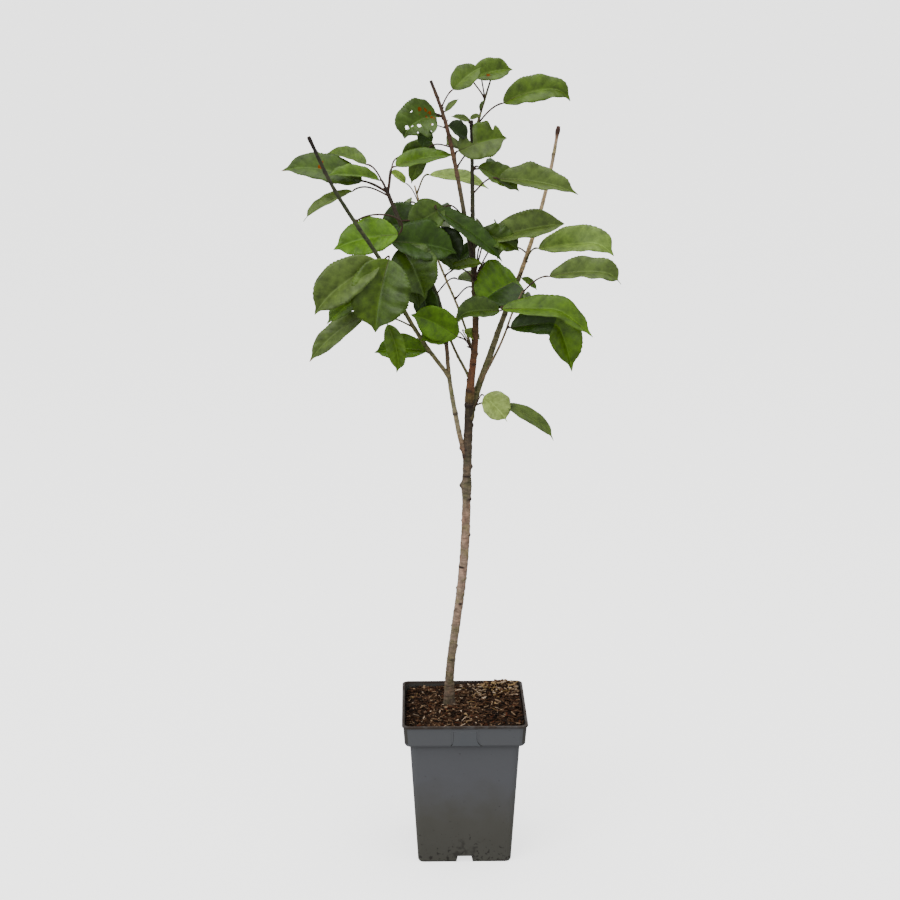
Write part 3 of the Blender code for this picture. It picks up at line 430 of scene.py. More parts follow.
class Surface:
    """A material while it is made: its node tree, its shader and short ways to the nodes used here."""

    def __init__(self, name: str, rough: float, gloss: float = 0.5) -> None:
        """Starts the material.

        Args:
            name: the real material's name.
            rough: the shader's roughness.
            gloss: the shader's specular level.
        """
        self.material = bpy.data.materials.new(name)
        self.material.use_nodes = True
        self.tree = self.material.node_tree
        self.shader = self.tree.nodes["Principled BSDF"]
        self.feed({"Roughness": rough, "Specular IOR Level": gloss})
        place = add(self.tree, "TexCoord")
        self.place = place.outputs["Object"]
        self.map = place.outputs["UV"]

    def feed(self, inputs: dict) -> None:
        """Sets or links the shader's inputs."""
        feed(self.tree, self.shader, inputs)

    def split(self, vector: Socket) -> list[Socket]:
        """Takes a vector apart into X, Y and Z."""
        return list(add(self.tree, "SeparateXYZ", {0: vector}).outputs)

    def maths(self, operation: str, *values: Number) -> Socket:
        """Does one sum on sockets and numbers."""
        return add(self.tree, "Math", dict(enumerate(values)), operation=operation).outputs[0]

    def ranged(self, value: Socket, low: float, high: float, start: float = 0.0, end: float = 1.0) -> Socket:
        """Turns the range from low to high into the one from start to end, and holds it at both ends."""
        ends = {"Value": value, "From Min": low, "From Max": high, "To Min": start, "To Max": end}
        return add(self.tree, "MapRange", ends).outputs[0]

    def noise(self, size_mm: float, detail: float = 2.0, rough: float = 0.5) -> Socket:
        """Gives cloudy noise with patches of a size, over the object's own place."""
        return self.noise_over(self.place, 1 / (size_mm * MM), detail, rough)

    def noise_over(self, vector: Socket, scale: float, detail: float, rough: float) -> Socket:
        """Gives cloudy noise over a vector."""
        inputs = {"Vector": vector, "Scale": scale, "Detail": detail, "Roughness": rough}
        return add(self.tree, "TexNoise", inputs).outputs["Fac"]

    def ramp(self, value: Socket, stops: tuple) -> Socket:
        """Colours a value.

        Args:
            value: the socket that the colours follow.
            stops: place and sRGB hex value, or place and linear colour, in order.
        Returns:
            The colour.
        """
        node = add(self.tree, "ValToRGB", {0: value})
        elements = node.color_ramp.elements
        while len(elements) < len(stops):
            elements.new(0.5)
        for element, (place, colour) in zip(elements, stops):
            element.position = place
            element.color = linear(colour) if isinstance(colour, str) else colour
        return node.outputs["Color"]

    def mix(self, share: Number, below: Socket, above: Socket | Colour, blend: str = "MIX") -> Socket:
        """Lays one colour over another by a share."""
        inputs = {0: share, 6: below, 7: above}
        return add(self.tree, "Mix", inputs, data_type="RGBA", blend_type=blend).outputs[2]

    def finish(self, colour: Socket, height: Socket, strength: float, deep_mm: float) -> bpy.types.Material:
        """Feeds the shader.

        Args:
            colour: the base colour.
            height: what the surface's fine bumps follow.
            strength: how much of them shows.
            deep_mm: how deep they are.
        Returns:
            The material.
        """
        bump = add(self.tree, "Bump", {"Strength": strength, "Distance": deep_mm * MM, "Height": height})
        self.feed({"Base Color": colour, "Normal": bump.outputs[0]})
        return self.material


@dataclass(frozen=True)
class LeafSkin:
    """Skin of a living leaf: a thin wax over green tissue, so a satin shine with finely netted veins."""

    name: str
    colour: str
    rough: float = 0.42
    gloss: float = 0.30
    vein: float = 0.17          # how much paler the side veins are
    mottle_mm: float = 11.0
    mottle: tuple = ((0.30, 0.58), (0.50, 1.0), (0.72, 1.50))     # noise and tone
    cell_mm: float = 1.6
    vein_edge: tuple = (0.43, 0.50)         # where a vein starts and is full: 0 is midway between two, 0.5 on one
    midrib_edge: tuple = (0.006, 0.022)     # where the midrib's pale line is full and ends, in blade widths
    bump: tuple = (0.22, 0.4)               # how much of the fine bumps shows, and how deep they are, mm

    def make(self) -> bpy.types.Material:
        """Builds the material: mottled green with paler veins that follow the leaf's own UV map.

        Returns:
            The material.
        """
        surface = Surface(self.name, self.rough, self.gloss)
        u, v, _ = surface.split(surface.map)
        out = surface.maths("ABSOLUTE", surface.maths("SUBTRACT", u, 0.5))
        led = surface.maths("MULTIPLY", out, -2 * VEIN_LEAD * VEINS)
        turn = surface.maths("FRACT", surface.maths("MULTIPLY_ADD", v, VEINS, led))
        turn = surface.maths("ABSOLUTE", surface.maths("SUBTRACT", turn, 0.5))
        side = surface.ranged(turn, *self.vein_edge, 0.0, self.vein)
        middle = surface.ranged(out, *self.midrib_edge, 2.0 * self.vein, 0.0)
        stops = [(place, toned(self.colour, tone)) for place, tone in self.mottle]
        green = surface.ramp(surface.noise(self.mottle_mm, 4.0, 0.6), stops)
        colour = surface.mix(surface.maths("MAXIMUM", side, middle), green, toned(self.colour, 2.0))
        return surface.finish(colour, surface.noise(self.cell_mm), *self.bump)


@dataclass(frozen=True)
class CherryBark:
    """Bark of a young cherry: grey-brown cork on old wood, olive and red-brown on shoots, matt."""

    name: str
    tints: tuple
    rough: float = 0.78
    scar: str = "#24150c"
    band_mm: float = 3.0
    patch_mm: float = 9.0
    streak_mm: float = 14.0
    cloud_mm: float = 15.0
    bump: tuple = (0.35, 0.5)
    greys: tuple = ((0.28, (0.36, 0.34, 0.32, 1.0)), (0.50, (0.95, 0.95, 0.95, 1.0)),
                    (0.72, (1.55, 1.5, 1.45, 1.0)))
    lichens: tuple = ((0.36, (0.74, 0.84, 0.60, 1.0)), (0.50, (1.0, 1.0, 1.0, 1.0)),
                      (0.66, (1.30, 1.14, 1.10, 1.0)))

    def grain(self, surface: Surface, sizes: tuple) -> Socket:
        """Gives stretched noise.

        Args:
            surface: the material while it is made.
            sizes: the patches' sizes in X, Y and Z, mm.
        Returns:
            The noise.
        """
        scale = [1 / (size * MM) for size in sizes]
        lay = add(surface.tree, "Mapping", {"Vector": surface.place, "Scale": scale})
        return surface.noise_over(lay.outputs[0], 1.0, 5.0, 0.65)

    def make(self) -> bpy.types.Material:
        """Builds the material: tints along the limb from its UV map, level bands and dark scars.

        Returns:
            The material.
        """
        surface = Surface(self.name, self.rough)
        colour = surface.ramp(surface.split(surface.map)[1], self.tints)
        bands = self.grain(surface, (self.patch_mm, self.patch_mm, self.band_mm))
        streaks = self.grain(surface, (self.band_mm, self.band_mm, self.streak_mm))
        clouds = surface.noise(self.cloud_mm)
        for noise, stops, share in ((bands, self.greys, 0.9), (streaks, self.greys, 0.6),
                                    (clouds, self.lichens, 0.9)):
            colour = surface.mix(share, colour, surface.ramp(noise, stops), "MULTIPLY")
        mark = add(surface.tree, "Attribute", attribute_name="mark")
        colour = surface.mix(mark.outputs["Fac"], colour, linear(self.scar))
        return surface.finish(colour, bands, *self.bump)


@dataclass(frozen=True)
class LooseWood:
    """Broken bark, wood or coconut fibre: torn and dry on top, so dull and uneven in tone."""

    name: str
    colour: str
    grain_mm: float = 2.2
    rough: float = 0.86
    gloss: float = 0.12
    tones: tuple = ((0.30, 0.5), (0.55, 1.0), (0.78, 1.5))      # noise and tone
    bump: tuple = (0.5, 0.5)

    def make(self) -> bpy.types.Material:
        """Builds the material: one tone with darker and lighter grain.

        Returns:
            The material.
        """
        surface = Surface(self.name, self.rough, self.gloss)
        grain = surface.noise(self.grain_mm, 4.0)
        colour = surface.ramp(grain, [(place, toned(self.colour, tone)) for place, tone in self.tones])
        return surface.finish(colour, grain, *self.bump)


@dataclass(frozen=True)
class MouldedPlastic:
    """Thin injection-moulded polypropylene of a nursery pot: satin grey, stained by splashes near its foot."""

    name: str = "moulded_polypropylene"
    upper: str = "#55565a"
    collar: str = "#55575a"
    lower: str = "#44433c"
    stained: str = "#4b4a44"
    dirt: str = "#1c1812"
    lip: str = "#2f2319"
    # Painted shade on the wall's inner face above the mix
    inside: str = "#36342e"
    smudge_mm: float = 8.0
    speck_mm: float = 5.0
    stain_mm: float = 26.0
    grain_mm: float = 1.2
    rough: float = 0.46
    height: float = 0.208
    arch: float = 0.014         # middle of the smudges round each channel of the foot
    slant: float = -0.0706      # how the wall's inner face leans, in metres out for each metre up
    mix_level: float = 0.1815   # the wall's inside, which gets painted shade, shows above this
    swing: float = 0.28         # how far the clouds shift the tints
    dust: float = 0.4           # how much duller the crumbs make the lip
    bump: tuple = (0.06, 0.3)
    # Ranges: the low and high end of what is measured, and what they turn to
    low: tuple = (0.0, 0.060, 0.16, -0.03)
    speck: tuple = (0.70, 0.76, 0.0, 0.85)
    wet: tuple = (0.0, 0.036, 0.20, -0.10)
    smudge: tuple = (0.58, 0.72, 0.0, 0.62)
    inner: tuple = (0.0678, 0.0682, 0.85, 0.0)
    rim: tuple = (0.2030, 0.2060, 0.0, 1.0)
    crumbs: tuple = (0.36, 0.52, 0.5, 0.95)
    dull: tuple = (0.3, 0.7, 0.40, 0.56)

    def make(self) -> bpy.types.Material:
        """Builds the material: grey that turns olive and specked towards the foot, with a fine satin skin.

        Returns:
            The material.
        """
        surface = Surface(self.name, self.rough)
        maths, ranged = surface.maths, surface.ranged
        x, y, z = surface.split(surface.place)
        cloud = surface.noise(self.stain_mm, 4.0, 0.6)
        lift = maths("MULTIPLY_ADD", maths("SUBTRACT", cloud, 0.5), self.swing, ranged(z, 0.0, self.height))
        stops = ((0.0, self.lower), (0.30, self.stained), (0.62, self.upper), (1.0, self.collar))
        body = surface.ramp(lift, stops)
        near, far = [maths(kind, maths("ABSOLUTE", x), maths("ABSOLUTE", y)) for kind in ("MINIMUM", "MAXIMUM")]
        specks = maths("ADD", surface.noise(self.speck_mm, 3.0), ranged(z, *self.low))
        flat = add(surface.tree, "CombineXYZ", {0: near, 2: z}).outputs[0]
        away = add(surface.tree, "VectorMath", {0: flat, 1: (0.0, 0.0, self.arch)}, operation="DISTANCE")
        wet = ranged(away.outputs["Value"], *self.wet)
        smears = maths("ADD", surface.noise(self.smudge_mm, 4.0), wet)
        # Painted shade: the wall's inner face above the mix turns darker
        inner = ranged(maths("MULTIPLY_ADD", z, self.slant, far), *self.inner)
        shaded_inner_wall = maths("MULTIPLY", inner, maths("GREATER_THAN", z, self.mix_level))
        crumbed = maths("MULTIPLY", ranged(z, *self.rim), ranged(cloud, *self.crumbs))
        for share, colour in ((ranged(specks, *self.speck), self.dirt), (ranged(smears, *self.smudge), self.dirt),
                              (shaded_inner_wall, self.inside), (crumbed, self.lip)):
            body = surface.mix(share, body, linear(colour))
        surface.feed({"Roughness": maths("MULTIPLY_ADD", crumbed, self.dust, ranged(cloud, *self.dull))})
        return surface.finish(body, surface.noise(self.grain_mm), *self.bump)


def unit(vectors: Array) -> Array:
    """Scales vectors to length one."""
    return vectors / np.linalg.norm(vectors, axis=-1, keepdims=True)


def direction(lean: Array | float, heading: Array | float) -> Array:
    """Turns leans off the vertical and headings, in degrees, to unit vectors (sin l cos h, sin l sin h, cos l)."""
    lean, heading = np.broadcast_arrays(np.radians(lean), np.radians(heading))
    return np.stack([np.sin(lean) * np.cos(heading), np.sin(lean) * np.sin(heading), np.cos(lean)], -1)


def spread(where: Array | float, places: Array, rows: Array) -> Array:
    """Reads rows at the places asked for, between the rows' own places, one column at a time."""
    return np.stack([np.interp(where, places, rows[:, k]) for k in range(rows.shape[1])], -1)


def smooth_step(low: float, high: float, value: Array) -> Array:
    """Eases from 0 below low to 1 above high: 3t^2 - 2t^3."""
    t = np.clip((value - low) / (high - low), 0.0, 1.0)
    return t * t * (3 - 2 * t)


def bell(off: Array, width: Array | float) -> Array:
    """Gives the bell curve exp(-(off / width)^2)."""
    return np.exp(-(off / width) ** 2)


def turned_off(angle: Array, heading: float) -> Array:
    """Gives how far angles are from a heading, from -180 to 180 degrees."""
    return (angle - heading + 180) % 360 - 180


def square_to(ways: Array, lean: Array) -> Array:
    """Makes directions square to the ways from the ones that they should lean to."""
    return unit(lean - ways * (ways * lean).sum(1)[:, None])


def follow(start: Array, ways: Array, shares: Array, length: float) -> Array:
    """Walks a length in mm from the start, along the mean direction between each two of the shares."""
    moves = (ways[1:] + ways[:-1]) / 2 * np.diff(shares)[:, None] * length * MM
    return start + np.vstack([np.zeros(3), np.cumsum(moves, 0)])


class Path:
    """Middle line of a limb: it keeps each run's lean and heading, and turns gradually between them."""

    step = 0.004                # metres between its points

    def __init__(self, start: Array, runs: tuple, first_way: Array | None = None) -> None:
        """Integrates the directions of the runs from the start.

        Args:
            start: first point.
            runs: length in mm, lean and heading of each run.
            first_way: direction of the limb that this one goes on from.
        """
        table = np.array(runs, dtype=float)
        lengths = table[:, 0] * MM
        places = np.cumsum(lengths) - lengths / 2
        ways = direction(table[:, 1], table[:, 2])
        if first_way is not None:
            places = np.insert(places, 0, 0.0)
            ways = np.vstack([first_way, ways])
        self.length = lengths.sum()
        steps = max(4, int(self.length / self.step))
        middles = (np.arange(steps) + 0.5) * self.length / steps
        moves = unit(spread(middles, places, ways))
        self.shares = np.linspace(0.0, 1.0, steps + 1)
        self.points = np.vstack([start, start + np.cumsum(moves, 0) * self.length / steps])
        self.ways = unit(spread(self.shares * self.length, places, ways))

    def point(self, share: Array | float) -> Array:
        """Gives the place at a share of the length."""
        return spread(share, self.shares, self.points)

    def way(self, share: Array | float) -> Array:
        """Gives the direction at a share of the length."""
        return unit(spread(share, self.shares, self.ways))


class Skin:
    """Vertices and faces of one piece, gathered before its mesh is made."""

    def __init__(self) -> None:
        """Starts empty."""
        self.parts: dict[str, list] = {key: [] for key in ("co", "uv", "mark", "loops", "sizes", "finish")}
        self.count = 0

    def add(self, vertices: Array, groups: list, uv: Array | None = None, mark: Array | None = None) -> None:
        """Takes in one part of the piece.

        Args:
            vertices: points, one row each.
            groups: pairs of a face array and the finish number of all or of each of its faces.
            uv: place on the surface of each point.
            mark: how much each point has of the finish's mark, from 0 to 1.
        """
        for faces, finish in groups:
            self.parts["loops"].append((faces + self.count).ravel())
            self.parts["sizes"].append(np.full(len(faces), faces.shape[1]))
            self.parts["finish"].append(np.broadcast_to(finish, len(faces)))
        self.parts["co"].append(vertices)
        self.parts["uv"].append(np.zeros((len(vertices), 2)) if uv is None else uv)
        self.parts["mark"].append(np.zeros(len(vertices)) if mark is None else mark)
        self.count += len(vertices)

    def piece(self, name: str, finishes: list, slot: str, nodes: tuple = (), flat: bool = False) -> None:
        """Makes the Blender object, which rides on the plant's body.

        Args:
            name: the piece's name.
            finishes: materials by finish number.
            slot: the record's material slot; not used.
            nodes: CAD nodes that it stands for.
            flat: whether faces keep their edges sharp.
        """
        whole = {key: np.concatenate(parts) for key, parts in self.parts.items()}
        loops, sizes = whole["loops"].astype(np.int32), whole["sizes"]
        used, places = np.unique(whole["finish"], return_inverse=True)
        mesh = bpy.data.meshes.new(name)
        mesh.vertices.add(self.count)
        mesh.vertices.foreach_set("co", whole["co"].astype(np.float32).ravel())
        mesh.loops.add(len(loops))
        mesh.loops.foreach_set("vertex_index", loops)
        mesh.polygons.add(len(sizes))
        mesh.polygons.foreach_set("loop_start", (np.cumsum(sizes) - sizes).astype(np.int32))
        for number in used:
            mesh.materials.append(finishes[number])
        mesh.polygons.foreach_set("material_index", places.astype(np.int32))
        layer = mesh.uv_layers.new(name="UVMap")
        layer.data.foreach_set("uv", whole["uv"][loops].astype(np.float32).ravel())
        attribute = mesh.attributes.new("mark", "FLOAT", "POINT")
        attribute.data.foreach_set("value", whole["mark"].astype(np.float32))
        mesh.update(calc_edges=True)
        if flat:
            mesh.shade_flat()
        else:
            mesh.shade_smooth()
        piece = bpy.data.objects.new(name, mesh)
        bpy.context.scene.collection.objects.link(piece)
        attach(piece, BODY)
        if nodes:
            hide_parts(*nodes)
        LOG.info("%s: %d triangles, %d finishes", name, (sizes - 2).sum(), len(used))


def grid_quads(rows: int, columns: int, closed: bool) -> Array:
    """Numbers the quads of a grid of points.

    Args:
        rows: rows of points.
        columns: points in a row.
        closed: whether the last column joins the first.
    Returns:
        One quad a row, each seen from outside where rows run forwards and columns to the left.
    """
    row, column = np.meshgrid(np.arange(rows - 1), np.arange(columns if closed else columns - 1), indexing="ij")
    after = (column + 1) % columns
    quads = [row * columns + column, row * columns + after, (row + 1) * columns + after,
             (row + 1) * columns + column]
    return np.stack(quads, -1).reshape(-1, 4)


def end_fans(rows: int, sides: int) -> Array:
    """Numbers the triangles that close a grid of rings at both ends.

    Args:
        rows: rings of points.
        sides: points in a ring.
    Returns:
        One triangle a row. The poles of the first and last ring are numbered after all rings.
    """
    here = np.arange(sides)
    there = (here + 1) % sides
    last = (rows - 1) * sides
    low = np.stack([there, here, np.full(sides, rows * sides)], -1)
    high = np.stack([last + here, last + there, np.full(sides, rows * sides + 1)], -1)
    return np.vstack([low, high])


def rim_quads(quads: Array, total: int) -> Array:
    """Joins a sheet of points to the same sheet behind it, whose numbers follow its own.

    Args:
        quads: the sheet's quads.
        total: how many points it has.
    Returns:
        One quad for each edge that a single quad has.
    """
    edges = np.concatenate([quads[:, [k, (k + 1) % 4]] for k in range(4)])
    single = ~np.isin(edges[:, 1] * total + edges[:, 0], edges[:, 0] * total + edges[:, 1])
    a, b = edges[single].T
    return np.stack([b, a, a + total, b + total], -1)


def tube(points: Array, ways: Array, helper: Array, radii: Array, sides: int, finish: int) -> tuple[Array, list]:
    """Lays a round skin along a line and closes its ends with fans.

    A point is P(s, a) = C(s) + R(s, a) (cos a X(s) + sin a Y(s)), where X is the helper
    direction made square to the line and Y is square to both.

    Args:
        points: the line C.
        ways: its directions.
        helper: direction from which the angle a is counted.
        radii: one for each point, or one for each point and side.
        sides: points round the line.
        finish: finish number of all faces.
    Returns:
        Vertices with the two poles last, and the groups of faces.
    """
    side = unit(helper - ways * (ways @ helper)[:, None])
    up = np.cross(ways, side)
    angles = np.arange(sides) * 2 * math.pi / sides
    ring = side[:, None] * np.cos(angles)[:, None] + up[:, None] * np.sin(angles)[:, None]
    radii = radii if radii.ndim == 2 else radii[:, None]
    rings = points[:, None] + ring * radii[..., None]
    vertices = np.vstack([rings.reshape(-1, 3), points[:1], points[-1:]])
    rows = len(points)
    return vertices, [(grid_quads(rows, sides, True), finish), (end_fans(rows, sides), finish)]


class Limb:
    """One limb with its bark: taper, swollen foot, grain, nodes, knots and lenticels. Lengths are in mm."""

    seed = 500
    waves_count = 26            # of the grain
    wave_turns = 7              # most that go round, plus one
    wave_long = (2.2, 14.0)
    lenticels_each = 0.10       # for each square millimetre of length times radius
    lenticel_high = 0.20
    lenticel_long = 0.7
    lenticel_wide = (12, 30)    # degrees
    lenticel_dark = 0.35
    collar_long = 5.0
    collar_high = 0.45          # as a share of the radius
    flare_high = 2.6
    flare_long = 18.0
    buttress = 0.9              # how far the trunk's three root swellings stand out
    buttress_long = 14.0
    buried = 2.5                # how far the trunk goes on into the potting mix
    node_step = 27.0
    node_spread = (0.35, 0.65)  # where in its step a node sits
    node_turn = 137.5           # degrees from one node to the next
    node_wander = 20.0
    node_high = (0.30, 0.14)    # fixed, and for each millimetre of radius
    node_knot = (1.5, 34, 0.5)  # its length, half width and share of scar
    ring_below = 1.5            # the scar ring under a node
    ring_high = (0.05, 0.05)
    ring_knot = (1.0, 360, 0.3)
    scar_edge = (0.20, 0.85)    # where a knot's bell turns to scar
    node_clear = 10.0           # distance that a seeded node keeps from a planned knot
    foot_clear = 8.0            # and from the parent's skin
    flaky = 0.2                 # grain higher than this has peeled ridges
    cut_over = (0.10, 0.22, 0.28)       # how far the cut tip's last rings stand past it, in radii
    cut_wide = (0.96, 0.75, 0.35)       # and how wide they are
    cut_dark = 0.9

    def __init__(self, shoot: Shoot, path: Path, inside: float, number: int) -> None:
        """Settles the limb's seeded details.

        Args:
            shoot: the limb's plan.
            path: its middle line.
            inside: how much of its foot is hidden in its parent, mm.
            number: its place in the plan, which seeds it.
        """
        self.shoot = shoot
        self.path = path
        self.inside = inside
        rng = np.random.default_rng(self.seed + number)
        self.waves = [(int(rng.integers(0, self.wave_turns)),
                       rng.uniform(-1, 1) * 2 * math.pi / rng.uniform(*self.wave_long),
                       rng.uniform(0, 2 * math.pi)) for _ in range(self.waves_count)]
        length = path.length / MM
        self.knots = list(shoot.knots)
        radius = sum(shoot.radii) / 2
        for k in range(int(length / self.node_step)):
            along = (k + rng.uniform(*self.node_spread)) * self.node_step
            free = all(abs(along - knot.along) > self.node_clear for knot in shoot.knots)
            if free and along > inside + self.foot_clear:
                heading = self.node_turn * k + rng.uniform(-self.node_wander, self.node_wander)
                for low, turned, (fixed, grown), knot in (
                        (0.0, heading, self.node_high, self.node_knot),
                        (self.ring_below, 0, self.ring_high, self.ring_knot)):
                    self.knots.append(Knot(along - low, turned, fixed + grown * radius, *knot))
        count = int(length * radius * self.lenticels_each)
        self.lenticels = np.stack([rng.uniform(inside, length, count), rng.uniform(0, 360, count),
                                   rng.uniform(*self.lenticel_wide, count)], -1)

    def radius(self, shares: Array) -> Array:
        """Gives the plain radius along the limb, with the trunk's flare or the bough's collar.

        Args:
            shares: places along the limb.
        Returns:
            Radii in metres.
        """
        foot, tip = self.shoot.radii
        radii = (foot + (tip - foot) * np.clip(shares, 0, 1)) * MM
        along = shares * self.path.length / MM
        if not self.shoot.parent:
            return radii + self.flare_high * MM * np.exp(-along / self.flare_long)
        if self.shoot.at < 1.0:
            past = np.maximum(along - self.inside, 0.0)
            radii = radii * (1 + self.collar_high * bell(past, self.collar_long))
        return radii

    def relief(self, shares: Array, sides: int) -> tuple[Array, Array]:
        """Works out the bark's relief on a grid.

        It is the sum of the grain, which is many waves round and along the limb, of a bell curve
        for each knot, and of a flat level bell curve for each lenticel.

        Args:
            shares: places along the limb.
            sides: points round it.
        Returns:
            Height of the relief in metres, and how much each point is scar or lenticel.
        """
        along = (shares * self.path.length / MM)[:, None]
        angle = (np.arange(sides) * 360 / sides)[None, :]
        high = np.zeros((len(shares), sides))
        for turns, pitch, phase in self.waves:
            high += np.sin(turns * np.radians(angle) + pitch * along + phase)
        high = high * self.shoot.rough / math.sqrt(len(self.waves) / 2)
        if self.shoot.rough > self.flaky:
            high = -np.abs(high) + 0.5 * self.shoot.rough
        mark = np.zeros_like(high)
        for knot in self.knots:
            across = 1.0 if knot.wide >= 360 else bell(turned_off(angle, knot.heading), knot.wide)
            swell = bell(along - knot.along, knot.long) * np.ones_like(angle) * across
            high += knot.high * swell
            mark = np.maximum(mark, knot.dark * smooth_step(*self.scar_edge, swell))
        for place, heading, wide in self.lenticels:
            swell = bell(along - place, self.lenticel_long) * bell(turned_off(angle, heading), wide)
            high += self.lenticel_high * swell
            mark = np.maximum(mark, self.lenticel_dark * swell)
        return high * MM, mark

    def skin(self, skin: Skin, first: float, last: float, step: float, sides: int, finish: int) -> None:
        """Adds a stretch of the limb to a piece.

        Args:
            skin: the piece.
            first: share where the stretch starts.
            last: share where it ends; a whole limb ends in a cut, slightly rounded tip.
            step: distance between rings, mm.
            sides: points round the limb.
            finish: finish number of its bark.
        """
        count = max(3, int((last - first) * self.path.length / MM / step) + 1)
        shares = np.linspace(first, last, count)
        points = self.path.point(shares)
        ways = self.path.way(shares)
        high, mark = self.relief(shares, sides)
        radii = self.radius(shares)[:, None] + high
        if not self.shoot.parent:
            points[0] -= (0.0, 0.0, self.buried * MM)
            lobes = np.cos(3 * np.arange(sides) * 2 * math.pi / sides + 0.8)
            fall = np.exp(-shares * self.path.length / (self.buttress_long * MM))
            radii += self.buttress * MM * lobes * fall[:, None]
        if last >= 1.0:
            over = np.array(self.cut_over) * radii[-1].mean()
            points = np.vstack([points, points[-1] + np.outer(over, ways[-1])])
            ways = np.vstack([ways, np.repeat(ways[-1:], 3, 0)])
            radii = np.vstack([radii, np.outer(self.cut_wide, radii[-1])])
            mark = np.vstack([mark, np.full((3, sides), self.cut_dark)])
            shares = np.append(shares, (1.0, 1.0, 1.0))
        across = np.tile(np.arange(sides) / sides, len(shares))
        uv = np.vstack([np.stack([across, np.repeat(shares, sides)], -1), (0.5, first), (0.5, last)])
        marks = np.append(mark.ravel(), (0.0, self.cut_dark if last >= 1.0 else 0.0))
        skin.add(*tube(points, ways, np.array((1.0, 0.0, 0.0)), radii, sides, finish), uv, marks)


def leaf_base(leaf: Leaf, path: Path) -> tuple[Array, Array]:
    """Finds where a leaf hangs.

    Args:
        leaf: the leaf.
        path: its shoot's middle line.
    Returns:
        The foot of its stalk on the shoot, and the foot of its blade.
    """
    length, rise, heading = leaf.stalk
    foot = path.point(leaf.at)
    return foot, foot + direction(90 - rise, heading) * length * MM


